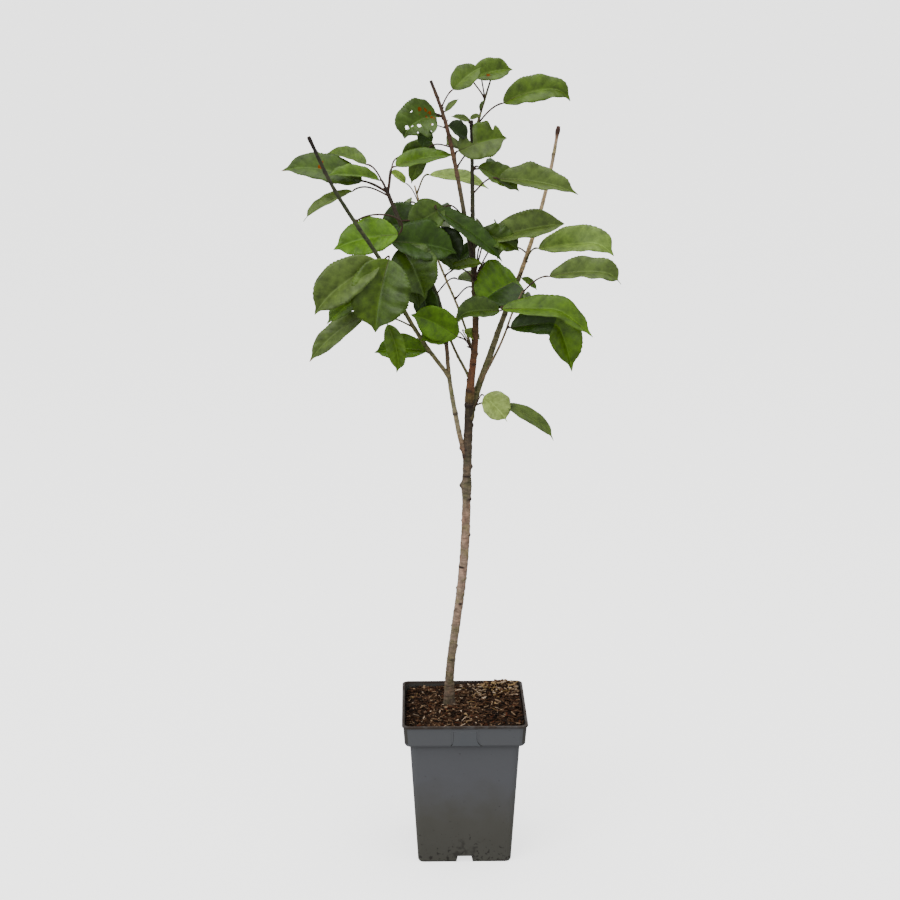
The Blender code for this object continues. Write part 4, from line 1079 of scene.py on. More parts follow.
class Blade:
    """One leaf's blade and stalk, grown by the rule of the CAD source with veins and teeth added."""

    seed = 600
    rows = 73
    teeth = 24
    tooth = 0.065               # how deep they are, as a share of the half width
    fuller = 1.06               # how much wider than planned, because the teeth take some off
    tip_at = 0.84               # where past the belly the drawn-out tip is narrowest
    tip_reach = 0.11
    sways = ((0.03, 1.2), (0.02, 2.8))      # depth and fewest turns of the outline's slow waves
    quilt = 0.55 * MM           # how far the blade swells between two side veins
    thick = 0.35 * MM
    across = np.array((0.0, 0.09, 0.20, 0.34, 0.50, 0.67, 0.84, 1.0))
    fine_columns = 22
    midrib = 0.35 * MM
    fold = 22.0                 # how far each half is turned up along the midrib
    reach = 0.35                # of the stalk's curve, as a share of its length
    places = np.array((0.0, *BLADE_SHARES, 1.0))
    stalk_sides = 8
    stalk_points = 15
    rib_points = 24

    def __init__(self, leaf: Leaf, path: Path, rng: np.random.Generator, number: int) -> None:
        """Draws the leaf's numbers in the source's order, then its own finer ones.

        Args:
            leaf: the leaf's plan.
            path: the shoot's middle line.
            rng: the source's random numbers.
            number: the leaf's place in the plan, which seeds the finer ones.
        """
        self.leaf = leaf
        self.foot, self.base = leaf_base(leaf, path)
        self.bend = rng.uniform(-6, 6)
        self.folded = math.radians(self.fold + rng.uniform(-8, 8))
        self.wave = rng.uniform(-0.10, 0.10, (2, len(BLADE_SHARES)))
        self.own = np.random.default_rng(self.seed + number)

    def lines(self, shares: Array) -> tuple[Array, Array, Array]:
        """Follows the midrib: the rise falls by the droop from foot to tip and faster in the tip.

        Args:
            shares: places along the blade.
        Returns:
            Points, and directions across and square to the blade.
        """
        leaf, look = self.leaf, self.leaf.look
        length, rise, heading = leaf.blade
        bent = smooth_step(look.bend_at - 0.12, look.bend_at + 0.12, shares)
        turned = shares * (1 - look.sharp) + bent * look.sharp
        rises = rise + leaf.droop * (0.5 - turned) - look.hook * smooth_step(0.62, 1.0, shares)
        ways = direction(90 - rises, heading + self.bend * shares)
        points = follow(self.base, ways, shares, length)
        normals = square_to(ways, direction(leaf.tilt + look.twist * shares, leaf.face))
        return points, np.cross(ways, normals), normals

    def wavy(self, low: float, high: float, shares: Array) -> Array:
        """Gives a sine with a drawn number of turns and a drawn phase."""
        return np.sin(2 * math.pi * (self.own.uniform(low, high) * shares + self.own.uniform()))

    def half_width(self, shares: Array, side: int) -> Array:
        """Gives the half width on one side: a full belly, a drawn-out tip, forward teeth and any bites.

        Args:
            shares: places along the blade.
            side: -1 or 1.
        Returns:
            Half widths in metres.
        """
        look = self.leaf.look
        belly = look.belly + self.own.uniform(-0.02, 0.02)
        low = (1 - np.clip(1 - shares / belly, 0, 1) ** 2) ** 0.62
        past = np.clip((shares - belly) / (1 - belly), 0, 1)
        drawn = look.drawn * bell(past - self.tip_at, self.tip_reach)
        high = np.maximum((1 - past ** 2.0) ** 0.92 - drawn, 0.22 * (1 - past))
        half = np.where(shares < belly, low, high)
        sway = sum(depth * self.wavy(turns, turns * 1.6, shares) for depth, turns in self.sways)
        step = (shares * self.teeth + self.own.uniform(0, 0.2)) % 1.0
        depth = self.tooth * (0.55 + 0.45 * np.sin(2 * math.pi * (2.3 * shares + self.own.uniform())))
        saw = depth * (step - 0.5) * np.minimum(1.0, half * 1.6)
        half = (half * (1 + sway) + saw) * self.fuller
        for where, place, reach, depth in look.bites:
            if where == side:
                half = half * (1 - depth * bell(shares - place, reach))
        return np.maximum(half, 0.02) * self.leaf.width * self.leaf.blade[0] * MM / 2

    def sheet(self, shares: Array, across: Array) -> tuple[Array, Array]:
        """Works out the blade's upper side.

        Across the blade the height is half (1.35 t - 0.35 t^3) sin fold, with t from the midrib to
        the margin, plus the margin's ripple times t^2, plus |sin| of the vein count for the swell
        between side veins.

        Args:
            shares: places along the blade.
            across: places t from the midrib out.
        Returns:
            Grid of points, and the blade's normals.
        """
        points, sides, normals = self.lines(shares)
        t = across[None, :]
        columns = []
        for side, wave in ((-1, self.wave[0]), (1, self.wave[1])):
            half = self.half_width(shares, side)[:, None]
            ripple = np.interp(shares, self.places, (0.0, *wave, 0.0)) * self.leaf.look.crumple
            ripple = np.convolve(np.pad(ripple, 3, mode="edge"), np.full(7, 1 / 7), mode="valid")[:, None]
            fine = 0.03 * self.leaf.look.crumple * self.wavy(3, 6, shares)[:, None]
            turn = VEINS * (shares[:, None] - VEIN_LEAD * t ** 1.2)
            swell = self.quilt * np.abs(np.sin(math.pi * turn)) ** 0.8 * np.minimum(1, half / 0.010)
            swell = swell * np.sin(math.pi * np.clip(t * 1.02, 0, 1)) ** 0.5
            high = half * (math.sin(self.folded) * (1.35 * t - 0.35 * t ** 3) + (ripple + fine) * t ** 2) + swell
            out = self.midrib + (np.maximum(half - self.midrib, 0.05 * MM)) * t * math.cos(self.folded)
            grid = points[:, None] + sides[:, None] * (side * out)[..., None] + normals[:, None] * high[..., None]
            columns.append(grid[:, ::-1] if side < 0 else grid)
        return np.concatenate(columns, 1), normals

    def inked(self, u: Array, v: Array, greens: list, rust: int) -> tuple[Array, Array]:
        """Deals out the quads' finishes and finds the holes.

        Args:
            u: place of each quad across the blade, from -1 to 1.
            v: its place along.
            greens: tints in the order of their finish numbers.
            rust: finish number of dead patches.
        Returns:
            The finish number of each quad, and which quads stay.
        """
        look = self.leaf.look
        finish = np.full(v.shape, greens.index(self.leaf.green))
        # Painted shade: a darker tint over part of the blade
        for side, start, end, green in look.shade_patch:
            finish[(v > start) & (v < end) & (u * side >= 0)] = greens.index(green)
        keep = np.ones_like(u, bool)
        ragged = 1 + 0.35 * np.sin(17 * u + 23 * v) + 0.25 * np.sin(61 * v)
        for patches, hole in ((look.spots, False), (look.holes, True)):
            for place_u, place_v, radius in patches:
                near = np.hypot((u - place_u) * self.leaf.width / 2, v - place_v) < radius * ragged
                if hole:
                    keep &= ~near
                else:
                    finish[near] = rust
        return finish.ravel(), keep.ravel()

    def skin(self, skin: Skin, greens: list, under: int, rust: int) -> None:
        """Adds the blade to a piece of leaves. Its underside is the same sheet a little lower, joined at the edges.

        Args:
            skin: the piece.
            greens: tints in the order of their finish numbers.
            under: finish number of the underside.
            rust: finish number of dead patches.
        """
        shares = np.linspace(0.0, 1.0, self.rows)
        across = np.linspace(0, 1, self.fine_columns) if self.leaf.look.fine else self.across
        upper, normals = self.sheet(shares, across)
        lower = upper - normals[:, None] * self.thick
        u = np.concatenate([-across[::-1], across])
        v_quads, u_quads = np.meshgrid((shares[1:] + shares[:-1]) / 2, (u[1:] + u[:-1]) / 2, indexing="ij")
        finish, keep = self.inked(u_quads, v_quads, greens, rust)
        quads, finish = grid_quads(self.rows, len(u), False)[keep], finish[keep]
        total = self.rows * len(u)
        below = np.where(finish == rust, rust, under)
        v_grid, u_grid = np.meshgrid(shares, (u + 1) / 2, indexing="ij")
        uv = np.stack([u_grid.ravel(), v_grid.ravel()], -1)
        skin.add(np.vstack([upper.reshape(-1, 3), lower.reshape(-1, 3)]),
                 [(quads, finish), (quads[:, ::-1] + total, below), (rim_quads(quads, total), under)],
                 np.vstack([uv, uv]))

    def stalk(self, skin: Skin, finish: int) -> None:
        """Adds the leafstalk, which arches up, comes in along the midrib and runs on under the blade.

        The line is the source's cubic curve. Its radius falls from 1.6 mm at the swollen foot to
        1.1 mm, and under the blade on to 0.15 mm, where it lies half sunk in the underside.

        Args:
            skin: the piece of twigs.
            finish: finish number of the stalk.
        """
        leaf = self.leaf
        ahead = direction(90 - leaf.blade[1] - leaf.droop / 2, leaf.blade[2])
        length = np.linalg.norm(self.base - self.foot)
        arch = np.array((0.0, 0.0, leaf.look.arch * length))
        second = self.foot + (self.base - self.foot) * self.reach + arch
        third = self.base - ahead * self.reach * length + arch
        t = np.linspace(0, 1, self.stalk_points)[:, None]
        s = 1 - t
        line = s ** 3 * self.foot + 3 * s ** 2 * t * second + 3 * s * t ** 2 * third + t ** 3 * self.base
        shares = np.linspace(0.0, 0.92, self.rib_points)
        points, _, normals = self.lines(shares)
        scale = min(1.0, leaf.blade[0] / 60)
        ribs = (0.15 + 0.60 * (1 - shares)) * MM * scale
        points = points - normals * (self.thick / 2 + ribs * 0.55)[:, None]
        stem = (1.10 + 0.50 * np.exp(-t[:, 0] * length / (3 * MM))) * MM * (0.5 + 0.5 * scale)
        gland = 0.35 * MM * scale * bell(length * (1 - t[:, 0]) - 5 * MM, 1.4 * MM)
        line = np.vstack([line[:-1], points])
        radii = np.concatenate([(stem + gland)[:-1], ribs])
        moves = unit(np.diff(line, axis=0))
        ways = unit(np.vstack([moves[:1], moves[:-1] + moves[1:], moves[-1:]]))
        helper = np.cross(self.base - self.foot, (0.0, 0.0, 1.0))
        if np.linalg.norm(helper) < 0.15 * length:
            helper = np.cross(ahead, (0.0, 0.0, 1.0))
        along = np.append(np.repeat(np.linspace(0, 1, len(line)), self.stalk_sides), (0.0, 1.0))
        skin.add(*tube(line, ways, unit(helper), radii, self.stalk_sides, finish), np.stack([along * 0, along], -1))


class Tree:
    """The cherry tree: the plan's limbs and leaves, and the pieces of bark, twigs and leaves made from them."""

    spare_middle = np.array((-0.02, 0.105, 0.815))
    spare_reach = np.array((0.115, 0.105, 0.085))
    spare_clearance = 0.010
    tries = 12
    spare_greens = (Green.MID, Green.DEEP, Green.FRESH, Green.SHEEN)
    spare_end = 0.95            # as far up its shoot as one hangs
    spare_spread = (0.2, 0.8)   # where in its share of the shoot each one hangs
    spare_past = (5, 75)        # its heading's degrees past straight back
    spare_stalk = (26, 40)
    spare_rise = (5, 45)        # of its stalk
    spare_long = (65, 95)
    spare_dip = (-45, -5)       # rise of its blade
    spare_turn = 20             # between stalk and blade
    spare_droop = (20, 45)
    spare_tilt = (15, 45)
    spare_width = (0.42, 0.52)
    hidden_clearance = 0.005
    hidden_place = (0.10, 0.34)     # where a hidden blade starts, as a share of the front one
    hidden_back = (0.006, 0.016)    # metres behind it
    hidden_up = (-0.006, 0.004)
    hidden_heading = (60, 120)
    hidden_long = (48, 72)
    hidden_rise = (-14, 6)
    hidden_droop = 22
    hidden_tilt = (35, 60)
    hidden_width = (0.44, 0.54)
    # Mostly darker tints: painted shade on the leaves that hang behind the others
    hidden_greens = (Green.DEEP, Green.DARK, Green.MID)
    hidden_seed = 1400
    hidden_shifts = (400, 7)    # hidden leaves' numbers past a mass's others: first, and step
    more_seed = 550
    trunk_grid = (0.8, 40)      # millimetres between rings, and sides
    leader_grid = (1.1, 28)
    bough_grid = (1.4, 18)
    twig_grid = (1.4, 14)
    bud_line = (0.0, 0.8, 1.7, 2.7, 3.7)
    bud_radii = (0.85, 1.15, 1.10, 0.70, 0.12)
    bud_sides = 7
    stalks = (("red", ((0.0, "#3d2718"), (0.5, "#3a2a1b"), (1.0, "#4c5424"))),
              ("green", ((0.0, "#504a22"), (0.5, "#56602a"), (1.0, "#62732e"))))

    def __init__(self) -> None:
        """Works out the limbs' lines, the spare leaves and the finishes."""
        self.rng = np.random.default_rng(SEED)
        self.paths: dict[str, Path] = {}
        self.limbs: dict[str, Limb] = {}
        for number, shoot in enumerate(SHOOTS):
            self.grow(shoot, number)
        self.wood = np.vstack([path.points for path in self.paths.values()])
        self.taken: dict[str, list] = {}
        self.chosen = self.add_spares()
        self.hidden = {shoot.name: self.add_hidden(shoot, k) for k, shoot in enumerate(SHOOTS)}
        self.greens = list(Green)
        self.finishes = [LeafSkin("cherry_leaf_" + green.name.lower(), green.value).make() for green in self.greens]
        self.finishes.append(LeafSkin("cherry_leaf_underside", "#66783c", 0.6, 0.2, 0.2).make())
        self.finishes.append(LooseWood("scorched_leaf", "#7c4208").make())
        self.under = len(self.greens)
        self.rust = self.under + 1

    def grow(self, shoot: Shoot, number: int) -> None:
        """Lays a limb's middle line from its place on its parent.

        Args:
            shoot: the limb's plan.
            number: its place in the plan, which seeds its bark.
        """
        inside = 0.0
        if not shoot.parent:
            path = Path(np.array(TREE_FOOT), shoot.runs)
        elif shoot.at >= 1.0:
            parent = self.paths[shoot.parent]
            path = Path(parent.point(1.0), shoot.runs, parent.way(1.0))
        else:
            path = Path(self.paths[shoot.parent].point(shoot.at), shoot.runs)
            inside = float(self.limbs[shoot.parent].radius(np.array([shoot.at]))[0] / MM)
        self.paths[shoot.name] = path
        self.limbs[shoot.name] = Limb(shoot, path, inside, number)

    def spare_leaf(self, shoot: Shoot, turn: int) -> Leaf:
        """Draws a leaf by the seeded rule: nodes one after another up the shoot, turned to the back.

        Args:
            shoot: the shoot.
            turn: which of its spare leaves this is.
        Returns:
            The leaf.
        """
        rng = self.rng
        at = shoot.bare + (self.spare_end - shoot.bare) * (turn + rng.uniform(*self.spare_spread)) / shoot.spare
        side = (-1) ** turn
        heading = 90 + side * rng.uniform(*self.spare_past)
        length = rng.uniform(*self.spare_long)
        stalk = (rng.uniform(*self.spare_stalk), rng.uniform(*self.spare_rise), heading)
        blade = (length, rng.uniform(*self.spare_dip), heading + rng.uniform(-self.spare_turn, self.spare_turn))
        hang = [rng.uniform(*most) for most in (self.spare_droop, self.spare_tilt, self.spare_width)]
        return Leaf(at, stalk, blade, *hang, self.spare_greens[turn % len(self.spare_greens)],
                    Look(unseen=turn in shoot.sky), heading + 90 * side)

    def blade_grid(self, leaf: Leaf, path: Path) -> Array:
        """Gives places over a blade and its stalk, for the clearance test.

        Args:
            leaf: the leaf.
            path: its shoot's middle line.
        Returns:
            Points.
        """
        foot, base = leaf_base(leaf, path)
        length, rise, heading = leaf.blade
        shares = Blade.places
        bend = np.random.default_rng(0).uniform(-6, 6)
        ways = direction(90 - rise - leaf.droop * (0.5 - shares), heading + bend * shares)
        points = follow(base, ways, shares, length)
        sides = np.cross(ways, square_to(ways, direction(leaf.tilt, leaf.face)))
        half = np.array((0.0, *BLADE_WIDTHS, 0.0)) * leaf.width * length * MM / 2
        rows = [points + sides * (half * share)[:, None] for share in (-1, -0.5, 0, 0.5, 1)]
        return np.vstack(rows + [foot + np.outer(np.linspace(0.6, 1.0, 4), base - foot)])

    def hang(self, shoot: Shoot, draw: Callable[[], Leaf], clearance: float, reach: Array | float = np.inf) -> list:
        """Draws a leaf until one keeps clear of all limbs and leaves so far, and takes its place.

        Args:
            shoot: the leaf's shoot.
            draw: draws the leaf.
            clearance: distance that it keeps.
            reach: half axes of the space that it keeps to.
        Returns:
            The leaf in a list, which is empty when all tries fail.
        """
        for _ in range(self.tries):
            leaf = draw()
            grid = self.blade_grid(leaf, self.paths[shoot.name])
            inside = (((grid - self.spare_middle) / reach) ** 2).sum(1).max() < 1
            others = np.vstack([self.wood] + [g for grids in self.taken.values() for g in grids])
            if inside and np.linalg.norm(grid[:, None] - others[None], axis=2).min() >= clearance:
                self.taken[shoot.name].append(grid)
                return [leaf]
        return []

    def add_spares(self) -> dict[str, list]:
        """Chooses the spare leaves: one that would leave the space or touch something is skipped.

        Returns:
            For each shoot its planned and spare leaves.
        """
        for shoot in SHOOTS:
            self.taken[shoot.name] = [self.blade_grid(leaf, self.paths[shoot.name]) for leaf in shoot.leaves]
        chosen = {shoot.name: list(shoot.leaves) for shoot in SHOOTS}
        for shoot in SHOOTS:
            for turn in range(shoot.spare):
                draw = partial(self.spare_leaf, shoot, turn)
                chosen[shoot.name] += self.hang(shoot, draw, self.spare_clearance, self.spare_reach)
        return chosen

    def hidden_leaf(self, leaf: Leaf, path: Path, rng: np.random.Generator, number: int) -> Leaf:
        """Draws a leaf from the same bud, whose blade starts behind the given one's first third.

        Args:
            leaf: the leaf in front.
            path: its shoot's middle line.
            rng: random numbers.
            number: the front leaf's number on its shoot, which sets the tint.
        Returns:
            The leaf behind.
        """
        foot, base = leaf_base(leaf, path)
        ahead = direction(90 - leaf.blade[1], leaf.blade[2])
        start = base + ahead * rng.uniform(*self.hidden_place) * leaf.blade[0] * MM
        way = start + (0.0, rng.uniform(*self.hidden_back), rng.uniform(*self.hidden_up)) - foot
        length = float(np.linalg.norm(way))
        stalk = (length / MM, math.degrees(math.asin(way[2] / length)), math.degrees(math.atan2(way[1], way[0])))
        heading = rng.uniform(*self.hidden_heading)
        blade = (rng.uniform(*self.hidden_long), rng.uniform(*self.hidden_rise), heading)
        side = 1 if rng.uniform() < 0.5 else -1
        return Leaf(leaf.at, stalk, blade, self.hidden_droop, rng.uniform(*self.hidden_tilt),
                    rng.uniform(*self.hidden_width), self.hidden_greens[number % len(self.hidden_greens)],
                    face=heading + 90 * side)

    def add_hidden(self, shoot: Shoot, number: int) -> list:
        """Hangs a leaf behind each planned one that the shoot names, unless it would touch something.

        Args:
            shoot: the shoot.
            number: its place in the plan, which seeds the draws.
        Returns:
            The leaves.
        """
        rng = np.random.default_rng(self.hidden_seed + number)
        found = []
        for k in shoot.behind:
            draw = partial(self.hidden_leaf, shoot.leaves[k], self.paths[shoot.name], rng, k)
            found += self.hang(shoot, draw, self.hidden_clearance)
        return found

    def bark(self, shoot: Shoot) -> bpy.types.Material:
        """Makes or finds the bark finish of a limb."""
        name = shoot.name + "_cherry_bark"
        return bpy.data.materials.get(name) or CherryBark(name, shoot.tints).make()

    def dress_limb(self, shoot: Shoot) -> None:
        """Makes the bark of the trunk or of one bough in place of its node.

        Args:
            shoot: the limb's plan.
        """
        skin = Skin()
        grid = self.leader_grid if shoot is LEADER else self.bough_grid if shoot.parent else self.trunk_grid
        self.limbs[shoot.name].skin(skin, 0.0, shoot.bare, *grid, 0)
        skin.piece(shoot.name + "_bark", [self.bark(shoot)], "bark", (shoot.name,))

    def dress_mass(self, name: str, shoots: list, number: int) -> int:
        """Makes the twigs and the leaves of one mass in place of its node.

        Args:
            name: the mass's node.
            shoots: limbs whose foliage it is.
            number: count of the leaves made before.
        Returns:
            Count of the leaves made by now, without the hidden ones.
        """
        twigs, leaves = Skin(), Skin()
        finishes = [self.bark(shoot) for shoot in shoots]
        finishes += [CherryBark(f"leafstalk_{kind}_{name}", tints).make() for kind, tints in self.stalks]
        red = len(shoots)
        for k, shoot in enumerate(shoots):
            self.limbs[shoot.name].skin(twigs, shoot.bare, 1.0, *self.twig_grid, k)
        for shoot in shoots:
            own = np.random.default_rng(self.more_seed + number)
            first, step = self.hidden_shifts
            hanging = [(leaf, self.rng, 0) for leaf in self.chosen[shoot.name]]
            hanging += [(leaf, own, 0) for leaf in shoot.more]
            hanging += [(leaf, own, first + step * k) for k, leaf in enumerate(self.hidden[shoot.name])]
            for leaf, rng, shift in hanging:
                blade = Blade(leaf, self.paths[shoot.name], rng, number + shift)
                number += not shift
                if not leaf.look.unseen:
                    blade.skin(leaves, self.greens, self.under, self.rust)
                    blade.stalk(twigs, red + leaf.look.green_stalk)
                    self.bud(twigs, shoot, leaf, red)
        twigs.piece(name + "_twigs", finishes, "bark", (name,))
        leaves.piece(name + "_leaves", self.finishes, "foliage", (name,))
        return number

    def bud(self, skin: Skin, shoot: Shoot, leaf: Leaf, finish: int) -> None:
        """Adds the pointed bud that sits between a leafstalk and its shoot.

        Args:
            skin: the piece of twigs.
            shoot: the shoot.
            leaf: the leaf.
            finish: finish number of the bud.
        """
        path = self.paths[shoot.name]
        way = path.way(leaf.at)
        out = direction(90.0, leaf.stalk[2])
        thick = self.limbs[shoot.name].radius(np.array([leaf.at]))[0]
        start = path.point(leaf.at) + way * 1.8 * MM + out * thick * 0.7
        ahead = unit(way * 0.8 + out)
        line = start + np.outer(np.array(self.bud_line) * MM, ahead)
        ways = np.repeat(ahead[None], len(line), 0)
        helper = np.cross(ahead, out + way * 0.3)
        skin.add(*tube(line, ways, helper, np.array(self.bud_radii) * MM, self.bud_sides, finish))

    def build(self) -> None:
        """Makes all the tree's pieces, limb by limb and mass by mass."""
        masses: dict[str, list] = {}
        for shoot in SHOOTS:
            if shoot.bare:
                self.dress_limb(shoot)
            if shoot.foliage:
                masses.setdefault(shoot.foliage, []).append(shoot)
        number = 0
        for name, shoots in masses.items():
            number = self.dress_mass(name, shoots, number)
        LOG.info("leaves: %d", number)


@dataclass
class PottingMix:
    """Bark and coconut-fibre mix that fills the pot: an uneven bed with loose chips and strands on it."""

    level: float = 0.2005
    slope: float = 0.045
    roughness: float = 0.0022
    flat_radius: float = 0.034          # no bumps nearer to the trunk
    half: float = 0.0802
    corner: float = 0.0085
    depth: float = 0.016
    seeds: tuple = (507, 508, 509)      # of the bed, the chips and the strands
    chips: int = 2700
    chip_room: tuple = (0.0025, 0.0095)     # from the wall, and from the trunk's middle
    strands: int = 90
    strand_room: tuple = (0.010, 0.016)
    strand_sweep: float = 1.4           # most radians to either side
    strand_edge: float = 0.002
    strand_lift: tuple = (1.6, 1.2, 1.1)    # mm: of all, the most by chance, and of the middle
    strand_taper: tuple = (0.5, 0.9, 1, 1, 1, 1, 0.8, 0.35)
    strand_pale: float = 0.6            # odds at the back right
    heap: float = 0.0034
    heap_at: tuple = (0.045, 0.080)
    heap_wide: tuple = (0.045, 0.035)
    back: float = 0.0022
    back_rise: tuple = (0.045, 0.075)   # the bed rises by it between these places in Y
    rings: int = 46
    around: int = 184
    power: float = 2 / 9                # makes a ring nearly square
    ripples: int = 34
    ripple_turn: float = 1100.0         # most radians for each metre
    ripple_high: float = 0.00018
    chip_long: tuple = (0.85, 0.50)     # middle and spread of the logarithm of a length in mm
    chip_wide: tuple = (0.0, 0.30)
    chip_thick: tuple = (0.25, 0.60)
    chip_slim: float = 0.8              # most width for its length
    chip_jitter: tuple = (-0.32, 0.22)
    chip_tip: float = 0.30              # spread of its slope along, radians
    chip_roll: float = 0.35             # and across
    chip_most: float = 0.006
    chip_lift: float = 0.0019
    strand_long: tuple = (7, 19)        # least and most, mm
    strand_thick: tuple = (0.22, 0.45)  # the same, of its radius
    wet_left: tuple = (-0.065, -0.035)  # the damp chips end between these places in X
    wet_right: tuple = (0.015, 0.045)   # and start again between these
    wet_front: tuple = (0.015, 0.050)   # as far as these in Y
    dry_back: tuple = (0.030, 0.070)    # the fibrous chips start between these places in Y
    dry_right: tuple = (-0.010, 0.030)  # and these in X
    tones: tuple = ("#1b110a", "#2b1b10", "#402b1c", "#5d4430", "#877057", "#4b2715", "#aa967f", "#9c8155")
    usual: tuple = (0.13, 0.20, 0.24, 0.22, 0.11, 0.06, 0.03, 0.01)     # odds of the tones
    damp: tuple = (0.32, 0.27, 0.20, 0.12, 0.045, 0.03, 0.01, 0.005)
    fibrous: tuple = (0.01, 0.02, 0.06, 0.18, 0.31, 0.05, 0.27, 0.10)

    def from_trunk(self, x: Array, y: Array) -> Array:
        """Gives the distance from the trunk's middle."""
        return np.hypot(x - TREE_FOOT[0], y - TREE_FOOT[1])

    def height(self, x: Array, y: Array) -> Array:
        """Gives the bed's height: level round the trunk, rising to the right, with a heap at the back.

        Args:
            x: places across.
            y: places towards the back.
        Returns:
            Heights.
        """
        ease = np.clip((self.from_trunk(x, y) - self.flat_radius) / self.flat_radius, 0.0, 1.0)
        rough = np.sin(90 * x + 40 * y) + np.sin(130 * y - 55 * x + 1.3) + 0.6 * np.sin(210 * x + 1.9)
        (middle_x, middle_y), (wide_x, wide_y) = self.heap_at, self.heap_wide
        heap = self.heap * np.exp(-((x - middle_x) / wide_x) ** 2 - ((y - middle_y) / wide_y) ** 2)
        heap = heap + self.back * smooth_step(*self.back_rise, y)
        return self.level + heap + ease * (self.slope * (x + 0.4 * y) - 0.001 + self.roughness * rough / 2.6)

    def bed(self) -> None:
        """Makes the bed: rings of a rounded square that shrink to the middle, with a skirt below."""
        rng = np.random.default_rng(self.seeds[0])
        angle = np.arange(self.around) * 2 * math.pi / self.around
        ring = np.stack([np.cos(angle), np.sin(angle)], -1)
        ring = np.sign(ring) * np.abs(ring) ** self.power
        shares = np.append(np.linspace(1.0, 0.04, self.rings), 0.0)[:-1]
        x, y = np.moveaxis(ring[None] * shares[:, None, None] * self.half, -1, 0)
        z = self.height(x, y)
        for _ in range(self.ripples):
            kx, ky = rng.uniform(-1, 1) * self.ripple_turn, rng.uniform(-1, 1) * self.ripple_turn
            z = z + self.ripple_high * np.sin(kx * x + ky * y + rng.uniform(0, 6.3))
        top = np.stack([x, y, z], -1)
        skirt = top[:1].copy()
        skirt[..., 2] = self.level - self.depth
        grid = np.concatenate([skirt, top])
        pole = np.array([[0.0, 0.0, self.level - self.depth], [0.0, 0.0, float(z[-1].mean())]])
        rows = len(grid)
        skin = Skin()
        skin.add(np.vstack([grid.reshape(-1, 3), pole]),
                 [(grid_quads(rows, self.around, True), 0), (end_fans(rows, self.around), 0)])
        skin.piece("potting_mix_bed", [LooseWood("composted_bark", "#1f1209", 3.0).make()], "potting_mix",
                   ("potting_mix",))

    def scatter(self, rng: np.random.Generator, count: int, edge: float, clear: float) -> tuple[Array, Array]:
        """Draws places on the bed, clear of the wall and of the trunk.

        Args:
            rng: random numbers.
            count: how many to draw.
            edge: distance kept from the wall.
            clear: distance kept from the trunk's middle.
        Returns:
            X and Y of the places that are clear.
        """
        x, y = rng.uniform(-1, 1, (2, count)) * (self.half - edge)
        straight = self.half - self.corner
        over = np.hypot(np.maximum(np.abs(x) - straight, 0), np.maximum(np.abs(y) - straight, 0))
        keep = (self.from_trunk(x, y) > clear) & (over <= max(self.corner - edge, 0.5 * MM))
        return x[keep], y[keep]

    def chip_tones(self, rng: np.random.Generator, x: Array, y: Array) -> Array:
        """Deals out the chips' tones: damp to the left and right, fibrous at the back, usual between.

        Args:
            rng: random numbers.
            x: the chips' places across.
            y: their places towards the back.
        Returns:
            Tone numbers.
        """
        usual, damp, fibrous = np.array(self.usual), np.array(self.damp), np.array(self.fibrous)
        right = smooth_step(*self.wet_right, x) * (1 - smooth_step(*self.wet_front, y))
        wet = np.maximum(1 - smooth_step(*self.wet_left, x), right)[:, None]
        share = (smooth_step(*self.dry_back, y) * smooth_step(*self.dry_right, x))[:, None]
        odds = np.cumsum((usual * (1 - wet) + damp * wet) * (1 - share) + fibrous * share, 1)
        return (rng.uniform(0, 1, (len(x), 1)) > odds).sum(1).clip(0, len(self.tones) - 1)

    def loose_chips(self) -> None:
        """Makes the chips: each is a bent slab of eight jittered corners, turned and tipped at random."""
        rng = np.random.default_rng(self.seeds[1])
        x, y = self.scatter(rng, self.chips, *self.chip_room)
        count = len(x)
        size = np.stack([rng.lognormal(*self.chip_long, count), rng.lognormal(*self.chip_wide, count),
                         rng.uniform(*self.chip_thick, count)], -1) * MM
        size[:, 0] = np.minimum(size[:, 0], self.chip_most)
        size[:, 1] = np.minimum(size[:, 1], size[:, 0] * self.chip_slim)
        corners = np.array([(a, b, c) for c in (-1, 1) for b in (-1, 1) for a in (-1, 1)], float)
        shape = corners[None] * (1 + rng.uniform(*self.chip_jitter, (count, 8, 3))) * size[:, None]
        turn = np.where(rng.uniform(0, 1, count) < 0.5, rng.normal(0, 0.5, count),
                        rng.uniform(0, 2 * math.pi, count))
        tip = rng.normal(0, self.chip_tip, count)
        roll = rng.normal(0, self.chip_roll, count)[:, None]
        long = np.stack([np.cos(turn) * np.cos(tip), np.sin(turn) * np.cos(tip), np.sin(tip)], -1)
        flat = unit(np.cross((0.0, 0.0, 1.0), long))
        high = np.cross(long, flat)
        flat, high = flat * np.cos(roll) + high * np.sin(roll), high * np.cos(roll) - flat * np.sin(roll)
        points = (shape[..., :1] * long[:, None] + shape[..., 1:2] * flat[:, None]
                  + shape[..., 2:] * high[:, None])
        lift = rng.uniform(0.0, self.chip_lift, count)
        points += np.stack([x, y, self.height(x, y) + lift], -1)[:, None]
        sides = np.array([(0, 2, 3, 1), (4, 5, 7, 6), (0, 1, 5, 4), (1, 3, 7, 5), (3, 2, 6, 7), (2, 0, 4, 6)])
        faces = (sides[None] + 8 * np.arange(count)[:, None, None]).reshape(-1, 4)
        skin = Skin()
        skin.add(points.reshape(-1, 3), [(faces, np.repeat(self.chip_tones(rng, x, y), 6))])
        finishes = [LooseWood(f"pine_bark_chip_{k}", tone, 1.8).make() for k, tone in enumerate(self.tones)]
        skin.piece("potting_mix_chips", finishes, "potting_mix", ("potting_mix",), flat=True)

